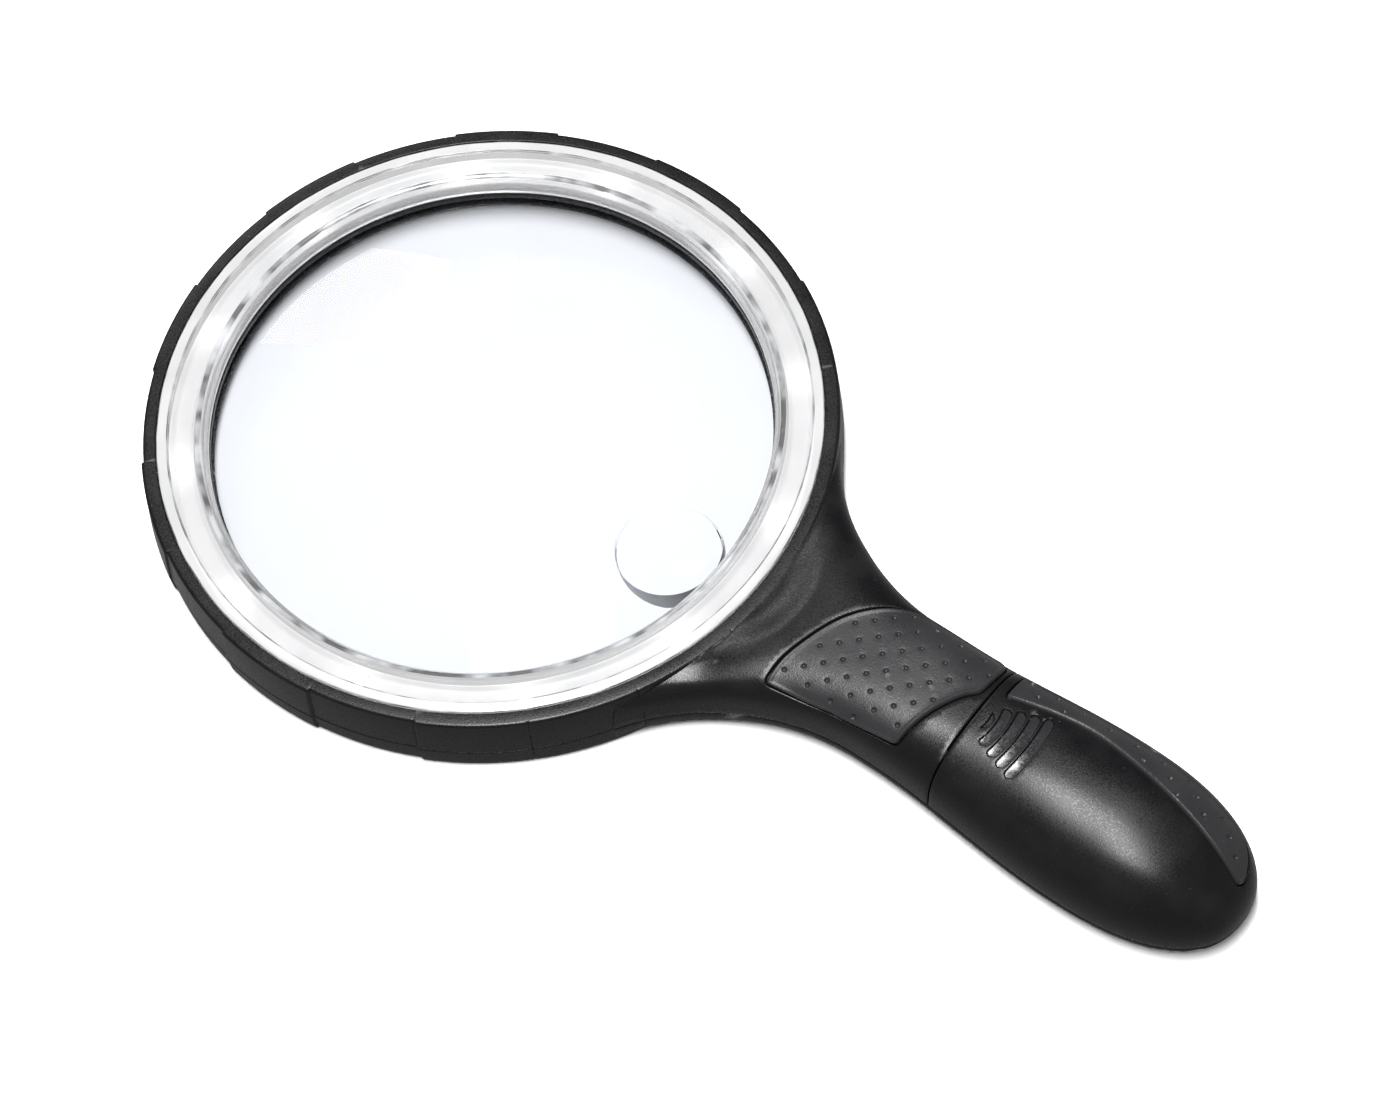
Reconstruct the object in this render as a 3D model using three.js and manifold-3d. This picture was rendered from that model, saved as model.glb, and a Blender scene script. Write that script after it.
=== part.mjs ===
// A lit hand lens: a 138 mm reading lens in a two-part plastic ring with twelve LEDs under a clear
// cover, on a hollow handle that holds three AAA cells under a sliding battery cover.
//
// All sizes are millimetres. While it is built, the centre of the lens is x = 0, y = 0, the handle
// points along +X and z is the height above the surface that the lens lies on. The finished group
// is shifted so that its origin is the middle of the bottom of the whole object.

import * as THREE from "three";
import { mergeVertices } from "three/addons/utils/BufferGeometryUtils.js";
import Module from "manifold-3d";

const wasm = await Module();
wasm.setup();

// ---------------------------------------------------------------- driving dimensions

const GAP = 0.3; // clearance between neighbouring pieces
const PARTING_HEIGHT = 7.7; // where the top and bottom shells meet
const WALL = 2;

const RING_RADIUS = 83; // outside of the ring at the parting line
const RING_HEIGHT = 19;
const RIM_TOP_RADIUS = 82.1; // the side wall leans in by this much at the top
const RIM_INNER_RADIUS = 78.8; // black rim's inner edge, around the clear cover
const RING_CAVITY_RADIUS = 80.6;
const SEGMENTS_ROUND = 20; // raised and recessed panels around the ring
const PANEL_STEP = 0.5; // how far a recessed panel sits back
const PANEL_EDGE_DEG = 0.15;
const NECK_PANELS = 2; // panels each way from the neck that stay flush with it

const LENS_RADIUS = 69.1;
const LENS_CURVE_RADIUS = 400;
const LENS_EDGE_BOTTOM = 8.8;
const LENS_EDGE_TOP = 11.4;
const LENS_SEAT_RADIUS = 66.2;
const BORE_FLARE = 4.2; // how much wider the opening is at the table than at the lens
const LENS_CLEAR_RADIUS = 66; // the faces are ground out to here, and the rim beyond is flat
const INSERT_X = 52; // small strong lens moulded near the handle
const INSERT_RADIUS = 12.5;
const INSERT_BOTTOM = 3.4;
const INSERT_SAG = 1;

const COVER_RADIUS = 78.5; // clear light cover
const COVER_STEP_RADIUS = 76;
const COVER_INNER_TOP_RADIUS = 68.7;
const COVER_INNER_RADIUS = 66.8;
const COVER_INNER_HEIGHT = 15.8;

const LED_COUNT = 12;
const LED_RADIUS = 73;
const LED_SIZE = [3.5, 2.8, 1.9];
const BOARD_RADII = [70.9, 75.9];
const BOARD_HEIGHTS = [11.4, 12.6];
const REFLECTOR_HEIGHTS = [12.9, 13.7];

const TIP_X = 209.8; // end of the handle
const SEAM_X = 138.5; // top shell meets battery cover
const NECK_START_X = 70.5;
const NECK_HALF_WIDTH = 17.1;
const NECK_FILLET_RADIUS = 57; // hollow curve from the ring into the neck
const NECK_FILLET_END_X = 119;
const GRIP_HALF_WIDTH = 20.5;
const GRIP_WIDEST_X = 172;
const GRIP_HIGHEST_X = 178;
const GRIP_HEIGHT = 26.8;
const NECK_UNDERSIDE = 1.9; // how far the neck's underside clears the table
const UNDERSIDE_RISE_X = 185; // where the underside starts to rise to the tip

const RIDGE_CENTRE_X = 60.2; // dished crescent between the ring and the neck
const RIDGE_RADIUS = 31.5;
const DISH_INNER_RADIUS = 21.9;
const DISH_DEPTH = 3.2;

const NECK_WALL = 2.4;
const COVER_WALL = 1.9;
const GRIP_PROUD = 0.2; // soft grips stand this far out of the shell
const GRIP_THICKNESS = 0.8; // and reach this far below its surface

const CELL_RADIUS = 5.15; // AAA cells side by side
const CELL_LENGTH = 44.5;
const CELL_PITCH = 10.6;
const CELL_HEIGHT = 8.55;
const CELL_FRONT_X = 143.1;
const SPRING_LENGTH = 4.5;

const SWITCH_X = 115.5;
const SWITCH_TRAVEL = 3.5;
const SWITCH_FLOOR = NECK_UNDERSIDE + WALL;
const SWITCH_BOARD_HEIGHT = 10.3;

const RING_SCREW_RADIUS = 78.4;
const RING_SCREW_ANGLES = [45, 135, 225, 315];
const NECK_SCREWS = [
  [92, -15],
  [92, 15],
  [131, 0],
];

const ROUND = 40; // facets around the ring's inner pieces
const NECK_ROUND = 80; // finer where the neck is cut to the ring

// ---------------------------------------------------------------- finishes

const finish = (color, roughness, metalness = 0) =>
  new THREE.MeshStandardMaterial({ color, roughness, metalness });
const glassy = (color, opacity) =>
  new THREE.MeshStandardMaterial({ color, roughness: 0.05, transparent: true, opacity });

const BLACK_PLASTIC = finish(0x1c1c1e, 0.45);
const BLACK_GRIP = finish(0x232325, 0.6);
const LENS_CLEAR = glassy(0xe6eef5, 0.35);
const COVER_CLEAR = glassy(0xf4f6f8, 0.4);
const WHITE_PLASTIC = finish(0xf2f2f0, 0.4);
const BOARD_WHITE = finish(0xe4e6e2, 0.5);
const BOARD_GREEN = finish(0x1f5a36, 0.5);
const LED_YELLOW = finish(0xf6f0c8, 0.3);
const SWITCH_STEEL = finish(0xb9bcc0, 0.35, 0.9);
const CELL_SLEEVE = finish(0x3d6f8f, 0.4);
const SPRING_STEEL = finish(0xc4c6c8, 0.3, 1);
const SCREW_STEEL = finish(0x8f9194, 0.35, 1);
const RED_WIRE = finish(0xb3201c, 0.5);
const BLACK_WIRE = finish(0x18181a, 0.5);
const RESISTOR_TAN = finish(0xc9b48a, 0.5);

// ---------------------------------------------------------------- solids

// A closed geometry as a solid whose faces point out.
function solidOf(geometry) {
  const bare = geometry.index ? geometry.toNonIndexed() : geometry.clone();
  bare.deleteAttribute("normal");
  bare.deleteAttribute("uv");
  const merged = mergeVertices(bare, 1e-4);
  const vertProperties = merged.attributes.position.array;
  const triVerts = new Uint32Array(merged.index.array);
  const build = () => new wasm.Manifold(new wasm.Mesh({ numProp: 3, vertProperties, triVerts }));
  const made = build();
  if (made.volume() > 0) return made;
  for (let i = 0; i < triVerts.length; i += 3)
    [triVerts[i + 1], triVerts[i + 2]] = [triVerts[i + 2], triVerts[i + 1]];
  return build();
}

function geometryOf(solid) {
  const { vertProperties, triVerts } = solid.getMesh();
  const geometry = new THREE.BufferGeometry();
  geometry.setAttribute("position", new THREE.BufferAttribute(vertProperties, 3));
  geometry.setIndex(new THREE.BufferAttribute(triVerts, 1));
  geometry.computeVertexNormals();
  return geometry;
}

const join = (...solids) => solids.reduce((all, one) => all.add(one));
const cut = (solid, ...tools) => tools.reduce((rest, tool) => rest.subtract(tool), solid);

// A skin over loops of points, one after another: closed round on itself, or capped at both ends.
function skin(loops, closed = false) {
  const count = loops[0].length;
  const positions = loops.flat(2);
  const index = [];
  const bands = closed ? loops.length : loops.length - 1;
  for (let i = 0; i < bands; i++) {
    const here = i * count;
    const next = ((i + 1) % loops.length) * count;
    for (let j = 0; j < count; j++) {
      const k = (j + 1) % count;
      index.push(here + j, next + j, next + k, here + j, next + k, here + k);
    }
  }
  if (!closed)
    [0, loops.length - 1].forEach((end, side) => {
      const centre = positions.length / 3;
      for (let axis = 0; axis < 3; axis++)
        positions.push(loops[end].reduce((sum, p) => sum + p[axis], 0) / count);
      for (let j = 0; j < count; j++) {
        const pair = [end * count + j, end * count + ((j + 1) % count)];
        index.push(centre, ...(side ? pair.reverse() : pair));
      }
    });
  const geometry = new THREE.BufferGeometry();
  geometry.setAttribute("position", new THREE.Float32BufferAttribute(positions, 3));
  geometry.setIndex(index);
  return solidOf(geometry);
}

// A profile of [radius, height] points turned about the z axis through (x, y). It starts and ends
// on the axis, or closes on itself.
function turned(profile, { x = 0, y = 0, facets = ROUND } = {}) {
  const points = profile.map(([r, z]) => new THREE.Vector2(r, z));
  const onAxis = profile[0][0] === 0 && profile.at(-1)[0] === 0;
  if (!onAxis) points.push(points[0].clone());
  const geometry = new THREE.LatheGeometry(points, facets);
  return solidOf(geometry.rotateX(Math.PI / 2).translate(x, y, 0));
}

const disc = (radius, low, high, place) =>
  turned([[0, low], [radius, low], [radius, high], [0, high]], place);
const hoop = (inner, outer, low, high, place) =>
  turned([[inner, low], [outer, low], [outer, high], [inner, high]], place);

function block([x0, x1], [y0, y1], [z0, z1]) {
  const geometry = new THREE.BoxGeometry(x1 - x0, y1 - y0, z1 - z0);
  return solidOf(geometry.translate((x0 + x1) / 2, (y0 + y1) / 2, (z0 + z1) / 2));
}

// An outline in plan, drawn up from one height to another.
function prism(outline, low, high) {
  const shape = new THREE.Shape(outline.map(([x, y]) => new THREE.Vector2(x, y)));
  const geometry = new THREE.ExtrudeGeometry(shape, { depth: high - low, bevelEnabled: false });
  return solidOf(geometry.translate(0, 0, low));
}

// A round rod along a smooth curve.
function rod(points, radius, steps, sides) {
  const path = new THREE.CatmullRomCurve3(points.map((p) => new THREE.Vector3(...p)));
  const section = new THREE.Shape(
    Array.from({ length: sides }, (_, i) => {
      const angle = (2 * Math.PI * i) / sides;
      return new THREE.Vector2(radius * Math.cos(angle), radius * Math.sin(angle));
    }),
  );
  const options = { steps, extrudePath: path, bevelEnabled: false };
  return solidOf(new THREE.ExtrudeGeometry(section, options));
}

const polar = (radius, degrees) => {
  const angle = THREE.MathUtils.degToRad(degrees);
  return [radius * Math.cos(angle), radius * Math.sin(angle)];
};

// A closed outline moved outwards by a distance.
function grown(outline, distance) {
  const area = THREE.ShapeUtils.area(outline.map(([x, y]) => ({ x, y })));
  const sign = Math.sign(area);
  return outline.map(([x, y], i) => {
    const [px, py] = outline.at(i - 1);
    const [nx, ny] = outline[(i + 1) % outline.length];
    const before = new THREE.Vector2(y - py, px - x).normalize();
    const after = new THREE.Vector2(ny - y, x - nx).normalize();
    const out = before.add(after).normalize();
    const lean = Math.max(0.5, Math.abs(out.dot(after)));
    return [x + (sign * distance * out.x) / lean, y + (sign * distance * out.y) / lean];
  });
}

const smoothCurve = (points, steps) =>
  new THREE.SplineCurve(points.map(([x, y]) => new THREE.Vector2(x, y)))
    .getPoints(steps)
    .map(({ x, y }) => [x, y]);

// ---------------------------------------------------------------- the handle's form

const ease = (x, from, to) => THREE.MathUtils.smoothstep(x, from, to);
// From 1 down to 0 along a rounded end.
const roundedEnd = (x, start, power) =>
  Math.max(0, 1 - (Math.max(0, x - start) / (TIP_X - start)) ** power) ** (1 / power);

// Half the width in plan: the hollow fillet, the waist, the swell and the round end.
function halfWidth(x) {
  if (x < NECK_FILLET_END_X) {
    const run = NECK_FILLET_END_X - x;
    return NECK_HALF_WIDTH + NECK_FILLET_RADIUS - Math.sqrt(NECK_FILLET_RADIUS ** 2 - run ** 2);
  }
  const swell = ease(x, NECK_FILLET_END_X + 4, GRIP_WIDEST_X);
  const width = NECK_HALF_WIDTH + (GRIP_HALF_WIDTH - NECK_HALF_WIDTH) * swell;
  return width * roundedEnd(x, GRIP_WIDEST_X, 2.35);
}

// Height of the crown above the parting line.
const CROWN = new THREE.SplineCurve(
  [
    [70, 19.05],
    [80, 19.2],
    [92, 21.5],
    [115, 23.4],
    [138, 24.4],
    [160, 26.2],
    [GRIP_HIGHEST_X, GRIP_HEIGHT],
    [196, GRIP_HEIGHT],
  ].map(([x, z]) => new THREE.Vector2(x, z)),
).getPoints(140);
function crownHeight(x) {
  const i = Math.max(1, CROWN.findIndex((p) => p.x >= Math.min(x, GRIP_HIGHEST_X)));
  const [a, b] = [CROWN[i - 1], CROWN[i]];
  const t = THREE.MathUtils.clamp((Math.min(x, GRIP_HIGHEST_X) - a.x) / (b.x - a.x), 0, 1);
  const height = a.y + (b.y - a.y) * t - PARTING_HEIGHT;
  return height * roundedEnd(x, GRIP_HIGHEST_X, 2.2);
}

// Depth of the keel below the parting line.
function keelDepth(x) {
  const lifted = ease(x, 83, 100) - ease(x, 126, 150);
  return (PARTING_HEIGHT - NECK_UNDERSIDE * lifted) * roundedEnd(x, UNDERSIDE_RISE_X, 2.2);
}

// The section is a superellipse: boxy where it leaves the ring, softer along the grip.
const SECTION_POWERS = [
  [70, 7],
  [82, 5.5],
  [100, 4.2],
  [120, 3.7],
  [138, 3],
  [170, 2.5],
  [210, 2.3],
];
function sectionPower(x) {
  const i = Math.max(1, SECTION_POWERS.findIndex(([at]) => at >= x));
  const [[x0, p0], [x1, p1]] = [SECTION_POWERS[i - 1], SECTION_POWERS[i]];
  return THREE.MathUtils.mapLinear(x, x0, x1, p0, p1);
}

const STATIONS = [
  NECK_START_X, 74, 78, 82, 86, 90, 95, 100, 106, 112, 119, 128, SEAM_X, 148, 160, 172, 179, 185,
  190, 194.5, 198.5, 202, 205, 207.3, 208.8, 209.5, TIP_X - 0.05,
];
const HALF_TURN_STEPS = 14;

// The upper or lower half of the handle between two stations, larger or smaller than the outside
// by "grow". Its flat face is at "level".
function handleHalf(upper, grow, from, to, level = PARTING_HEIGHT) {
  const inside = STATIONS.filter((x) => x > from + 0.5 && x < to - 0.5);
  const loops = [from, ...inside, to].map((x) => {
    const width = Math.max(0.3, halfWidth(x) + grow);
    const rise = Math.max(0.3, (upper ? crownHeight(x) : keelDepth(x)) + grow);
    const power = 2 / sectionPower(x);
    const loop = [];
    for (let i = 0; i <= HALF_TURN_STEPS; i++) {
      const angle = (Math.PI * i) / HALF_TURN_STEPS;
      const across = Math.sign(Math.cos(angle)) * Math.abs(Math.cos(angle)) ** power;
      const up = Math.abs(Math.sin(angle)) ** power * rise;
      const edge = i === 0 || i === HALF_TURN_STEPS;
      const height = upper ? PARTING_HEIGHT + up : PARTING_HEIGHT - up;
      loop.push([x, width * across, edge ? level : height]);
    }
    return loop;
  });
  return skin(loops);
}

const BEYOND = 1; // tools reach this far past what they cut
const ABOVE = 34; // clear of the top of the object
const UNDER_SKIN = 9; // below the lowest grip, above the parting line
const top = (grow, from, to) => handleHalf(true, grow, from, to, PARTING_HEIGHT + GAP / 3);
const bottom = (grow, from, to) => handleHalf(false, grow, from, to, PARTING_HEIGHT - GAP * (2 / 3));

// A patch of the handle's upper skin under an outline, between two depths.
const patch = (outline, out, below, from, to) =>
  cut(prism(outline, UNDER_SKIN, ABOVE).intersect(handleHalf(true, out, from, to)),
    handleHalf(true, -below, from - BEYOND, to + BEYOND));
const pocket = (outline, depth, from, to) =>
  cut(prism(grown(outline, GAP), UNDER_SKIN, ABOVE), handleHalf(true, -depth, from - BEYOND, to + BEYOND));

// ---------------------------------------------------------------- the ring

// A ring whose outer points follow the raised and recessed panels. Each profile point is
// [radius, height, onOutside].
function panelledRing(profile) {
  const span = 360 / SEGMENTS_ROUND;
  const facets = 3;
  const loops = [];
  for (let panel = 0; panel < SEGMENTS_ROUND; panel++) {
    const fromNeck = Math.min(panel, SEGMENTS_ROUND - panel);
    const back = fromNeck > NECK_PANELS && panel % 2 === 0 ? PANEL_STEP : 0;
    for (let i = 0; i <= facets; i++) {
      const from = (panel - 0.5) * span + PANEL_EDGE_DEG;
      const angle = from + ((span - 2 * PANEL_EDGE_DEG) * i) / facets;
      loops.push(
        profile.map(([r, z, outside]) => [...polar(r - (outside ? back : 0), angle), z]),
      );
    }
  }
  return skin(loops, true);
}

const ringScrews = RING_SCREW_ANGLES.map((angle) => polar(RING_SCREW_RADIUS, angle));
const screwPlaces = [...ringScrews, ...NECK_SCREWS];
const POST_FACETS = 10;
const SCREW_HOLE = 1.2;
const SCREW_HEAD_HOLE = 1.9;
const SCREW_HEAD_TOP = 2.3;

function bezel() {
  const low = PARTING_HEIGHT + GAP / 3;
  const ring = panelledRing([
    [RING_RADIUS, low, true],
    [RIM_TOP_RADIUS + 0.1, RING_HEIGHT - 0.5, true],
    [RIM_TOP_RADIUS - 0.4, RING_HEIGHT, true],
    [RIM_INNER_RADIUS, RING_HEIGHT],
    [RIM_INNER_RADIUS, 16.8],
    [77.2, 16.8],
    [77.2, 15.6],
    [RING_CAVITY_RADIUS - 0.3, 14.8],
    [RING_CAVITY_RADIUS, low],
  ]);
  const posts = ringScrews.map(([x, y]) =>
    disc(1.9, low, 15.2, { x, y, facets: POST_FACETS }));
  const holes = ringScrews.map(([x, y]) =>
    disc(SCREW_HOLE, low - BEYOND, 14, { x, y, facets: POST_FACETS }));
  return cut(join(ring, ...posts), ...holes);
}

// ---------------------------------------------------------------- soft grips and thumb slots

const PAD_OUTLINE = [
  ...smoothCurve([[95, -19.4], [95.3, -11], [99.4, 2], [106, 10.4], [114, 15.2]], 12),
  ...smoothCurve([[137, 15.6], [138, 14.8], [138, 9], [133.4, -1], [129.9, -9], [127.8, -15]], 10),
  [111, -16.4],
];
const STRIP_OUTLINE = [
  ...smoothCurve([[141.4, 7.2], [154, 10.2], [166, 10.8], [187, 7], [206.2, 1.8]], 14),
  ...smoothCurve([[206.8, 3.4], [203.6, 9.6], [197, 13.9], [182, 16.4], [165, 16.9], [141.2, 15.2]], 14),
];

const SLOT_COUNT = 5;
const SLOT_PITCH = 3;
const SLOT_FIRST_X = 140.9;
const SLOT_HALF_LENGTHS = [2.4, 5, 6.4, 7.4, 8.6];
const SLOT_HALF_WIDTH = 0.95;
const SLOT_BOW = 0.9;
const SLOT_DEPTH = 0.7;

// Bowed slots across the front of the battery cover, for the thumb.
function thumbSlots(deeper) {
  return Array.from({ length: SLOT_COUNT }, (_, i) => {
    const half = SLOT_HALF_LENGTHS[i];
    const x = SLOT_FIRST_X + SLOT_PITCH * i + (i === 0 ? 0.5 : 0);
    const bow = (y) => x + SLOT_BOW * (1 - (y / half) ** 2);
    const wide = i === 0 ? 0.6 : SLOT_HALF_WIDTH;
    const ends = [-1, -0.5, 0, 0.5, 1].map((t) => t * half);
    const outline = [
      ...ends.map((y) => [bow(y) - wide, y]),
      ...ends.reverse().map((y) => [bow(y) + wide, y]),
    ];
    return cut(prism(outline, UNDER_SKIN, ABOVE), top(-deeper, SEAM_X - BEYOND, TIP_X - 2));
  });
}

// ---------------------------------------------------------------- shells

function topShell() {
  const end = SEAM_X - GAP / 2;
  const dish = [];
  for (let i = 0; i <= 4; i++) {
    const t = i / 4;
    const radius = DISH_INNER_RADIUS + (RIDGE_RADIUS - DISH_INNER_RADIUS) * t;
    dish.push([radius, RING_HEIGHT + DISH_DEPTH * t ** 1.8]);
  }
  const dishTool = turned(
    [[0, RING_HEIGHT], ...dish, [RIDGE_RADIUS + 0.6, ABOVE], [0, ABOVE]],
    { x: RIDGE_CENTRE_X, facets: 48 },
  );
  const neck = cut(
    top(0, NECK_START_X, end),
    disc(RING_CAVITY_RADIUS, -BEYOND, ABOVE, { facets: NECK_ROUND }),
    disc(RIM_TOP_RADIUS, RING_HEIGHT, ABOVE, { facets: NECK_ROUND }),
    dishTool,
    cut(handleHalf(true, -NECK_WALL, NECK_START_X, end + BEYOND, 0), disc(RING_RADIUS, -BEYOND, ABOVE)),
    pocket(PAD_OUTLINE, GRIP_THICKNESS + GAP, 90, end),
  );
  const posts = NECK_SCREWS.map(([x, y]) =>
    disc(2.4, PARTING_HEIGHT + GAP / 3, crownHeight(x) + PARTING_HEIGHT, {
      x, y, facets: POST_FACETS,
    }).intersect(top(-NECK_WALL / 2, 80, end)));
  const holes = NECK_SCREWS.map(([x, y]) =>
    disc(SCREW_HOLE, 0, 14, { x, y, facets: POST_FACETS }));
  const wireWindow = block([76, 86], [-8, 8], [0, 12.6]);
  return cut(join(bezel(), neck, ...posts), ...holes, wireWindow);
}

const SHELL_RIM = PARTING_HEIGHT - GAP * (2 / 3);
const SEAT_LAND = 0.5; // upright land under the lens
const BORE_BOTTOM_RADIUS = LENS_SEAT_RADIUS + BORE_FLARE;
const BASE_CORNER_RADIUS = 81.2;

function bottomShell() {
  const ring = panelledRing([
    [RING_RADIUS, SHELL_RIM, true],
    [RING_RADIUS - 0.4, 2, true],
    [RING_RADIUS - 0.9, 0.6, true],
    [BASE_CORNER_RADIUS, 0, true],
    [BORE_BOTTOM_RADIUS + 0.4, 0],
    [BORE_BOTTOM_RADIUS, 0.5],
    [LENS_SEAT_RADIUS, LENS_EDGE_BOTTOM - GAP - SEAT_LAND],
    [LENS_SEAT_RADIUS, LENS_EDGE_BOTTOM - GAP],
    [LENS_RADIUS + GAP, LENS_EDGE_BOTTOM - GAP],
    [LENS_RADIUS + GAP, 12.3],
    [LENS_RADIUS + 1.3, 12.3],
    [LENS_RADIUS + 1.5, 2.2],
    [RING_CAVITY_RADIUS - 0.2, 2.2],
    [RING_CAVITY_RADIUS, SHELL_RIM],
  ]);
  const inside = join(
    cut(bottom(-WALL, NECK_START_X, 207.5), disc(RING_RADIUS, -BEYOND, ABOVE)),
    cut(block([NECK_START_X, 200], [-10, 10], [SHELL_RIM - 0.4, 9]), disc(RING_RADIUS, -BEYOND, ABOVE)),
  );
  const handle = cut(bottom(0, NECK_START_X, TIP_X - 0.05),
    disc(RING_CAVITY_RADIUS, -BEYOND, ABOVE, { facets: NECK_ROUND }), inside);

  const ringPosts = ringScrews.map(([x, y]) =>
    disc(2.1, 1.2, SHELL_RIM, { x, y, facets: POST_FACETS }));
  const neckPosts = NECK_SCREWS.map(([x, y]) =>
    disc(2.4, 1.2, SHELL_RIM, { x, y, facets: POST_FACETS }).intersect(
      bottom(-0.6, NECK_START_X, SEAM_X)));
  const boardPosts = [0, 60, 120, 180, 240, 300].map((angle) => {
    const [x, y] = polar(LED_RADIUS, angle + 30);
    return disc(1.5, 2, BOARD_HEIGHTS[0] - GAP, { x, y, facets: 8 });
  });
  const switchPosts = [-1, 1].flatMap((side) =>
    [SWITCH_X - 7.5, SWITCH_X + 7.5].map((x) =>
      disc(1.3, SWITCH_FLOOR - 0.8, SWITCH_BOARD_HEIGHT - GAP, { x, y: side * 5.4, facets: 8 })));
  const holes = screwPlaces.flatMap(([x, y]) => [
    disc(SCREW_HOLE, -BEYOND, 20, { x, y, facets: POST_FACETS }),
    disc(SCREW_HEAD_HOLE, -BEYOND, SCREW_HEAD_TOP + (x > 85 ? NECK_UNDERSIDE : 0) + GAP, {
      x, y, facets: POST_FACETS,
    }),
  ]);
  const wireWindow = block([77, 86], [-8, 8], [SHELL_RIM - 1.2, 12]);
  const knobSlot = block(
    [SWITCH_X - 2 - GAP, SWITCH_X + 2 + SWITCH_TRAVEL + GAP], [-1.6 - GAP, 1.6 + GAP],
    [-BEYOND, SWITCH_FLOOR + BEYOND]);
  const shell = join(ring, handle, ...ringPosts, ...neckPosts, ...boardPosts, ...switchPosts);
  return cut(shell, ...holes, wireWindow, knobSlot);
}

function batteryCover() {
  const start = SEAM_X + GAP / 2;
  const shell = cut(
    top(0, start, TIP_X - 0.05),
    handleHalf(true, -COVER_WALL, start - BEYOND, 207.6, 0),
    pocket(STRIP_OUTLINE, GRIP_THICKNESS + GAP, SEAM_X, TIP_X - 2),
    ...thumbSlots(SLOT_DEPTH),
  );
  // A tab at the front tucks under the top shell and holds the cover shut.
  const tab = cut(
    block([SEAM_X - 4, SEAM_X + 5], [-7, 7], [15, 30]).intersect(
      handleHalf(true, -NECK_WALL - GAP, SEAM_X - 6, SEAM_X + 8)),
    handleHalf(true, -NECK_WALL - 1.5, SEAM_X - 8, SEAM_X + 9));
  const shoulder = cut(
    block([SEAM_X + 1.5, SEAM_X + 5], [-7, 7], [15, 30]).intersect(
      handleHalf(true, -COVER_WALL + 0.4, SEAM_X - 6, SEAM_X + 8)),
    handleHalf(true, -NECK_WALL - 1.5, SEAM_X - 8, SEAM_X + 9));
  return join(shell, tab, shoulder);
}

// ---------------------------------------------------------------- optics and light

const sagAt = (radius, curve) => curve - Math.sqrt(curve ** 2 - radius ** 2);

function mainLens() {
  const rings = 3;
  const full = sagAt(LENS_CLEAR_RADIUS, LENS_CURVE_RADIUS);
  const steps = Array.from({ length: rings + 1 }, (_, i) => (LENS_CLEAR_RADIUS * i) / rings);
  const rise = (r) => full - sagAt(r, LENS_CURVE_RADIUS);
  const profile = [
    ...steps.map((r) => [r, LENS_EDGE_BOTTOM - rise(r)]),
    [LENS_RADIUS, LENS_EDGE_BOTTOM],
    [LENS_RADIUS, LENS_EDGE_TOP],
    ...steps.toReversed().map((r) => [r, LENS_EDGE_TOP + rise(r)]),
  ];
  const insert = turned([
    [0, INSERT_BOTTOM - INSERT_SAG],
    [INSERT_RADIUS * 0.6, INSERT_BOTTOM - INSERT_SAG * 0.64],
    [INSERT_RADIUS, INSERT_BOTTOM],
    [INSERT_RADIUS, 10],
    [0, 10],
  ], { x: INSERT_X, facets: 32 });
  return join(turned(profile), insert);
}

const lightCover = () =>
  turned([
    [COVER_INNER_RADIUS, COVER_INNER_HEIGHT],
    [COVER_INNER_TOP_RADIUS, RING_HEIGHT - 0.5],
    [COVER_STEP_RADIUS - 0.2, RING_HEIGHT - 0.5],
    [COVER_STEP_RADIUS, RING_HEIGHT],
    [COVER_RADIUS, RING_HEIGHT],
    [COVER_RADIUS, 17.2],
    [70.1, 17],
    [68.4, COVER_INNER_HEIGHT],
  ]);

const ledAngles = Array.from({ length: LED_COUNT }, (_, i) => (360 / LED_COUNT) * (i + 0.5));

// A box that points outwards at an angle around the ring.
function blockAt(angle, [long, wide], [low, high], radius = LED_RADIUS) {
  const geometry = new THREE.BoxGeometry(long, wide, high - low);
  geometry.translate(radius, 0, (low + high) / 2);
  return solidOf(geometry.rotateZ(THREE.MathUtils.degToRad(angle)));
}

function reflector() {
  const [low, high] = REFLECTOR_HEIGHTS;
  const tray = turned([
    [69.7, low],
    [76.2, low],
    [76.2, high + 1],
    [75.4, high],
    [70.5, high],
    [69.7, high + 1],
  ]);
  const [long, wide] = LED_SIZE;
  const windows = ledAngles.map((angle) =>
    blockAt(angle, [long + 2 * GAP, wide + 2 * GAP], [low - 1, high + 2]));
  return cut(tray, ...windows);
}

// ---------------------------------------------------------------- switch

function switchKnob() {
  const low = NECK_UNDERSIDE - 1.4;
  return join(
    block([SWITCH_X - 3.5, SWITCH_X + 3.5], [-3.4, 3.4], [low, low + 1]),
    ...[-2, 0, 2].map((x) =>
      block([SWITCH_X + x - 0.4, SWITCH_X + x + 0.4], [-3, 3], [low - 0.4, low + 0.5])),
    block([SWITCH_X - 2, SWITCH_X + 2], [-1.6, 1.6], [low + 0.5, SWITCH_FLOOR + 1.4]),
    block([SWITCH_X - 2.6, SWITCH_X + 2.6], [-3, 3], [SWITCH_FLOOR + 0.5, SWITCH_FLOOR + 1.4]),
  );
}

const switchBody = () =>
  block([SWITCH_X - 4.5, SWITCH_X + 6], [-3.2, 3.2],
    [SWITCH_FLOOR + 1.8, SWITCH_BOARD_HEIGHT - GAP]);

const switchBoard = () =>
  block([SWITCH_X - 10, SWITCH_X + 10], [-7.4, 7.4],
    [SWITCH_BOARD_HEIGHT, SWITCH_BOARD_HEIGHT + 1.2]);

// ---------------------------------------------------------------- cells, contacts and wiring

const TRAY_FRONT = [140.8, 142];
const TRAY_REAR = [193.5, 194.7];

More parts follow.
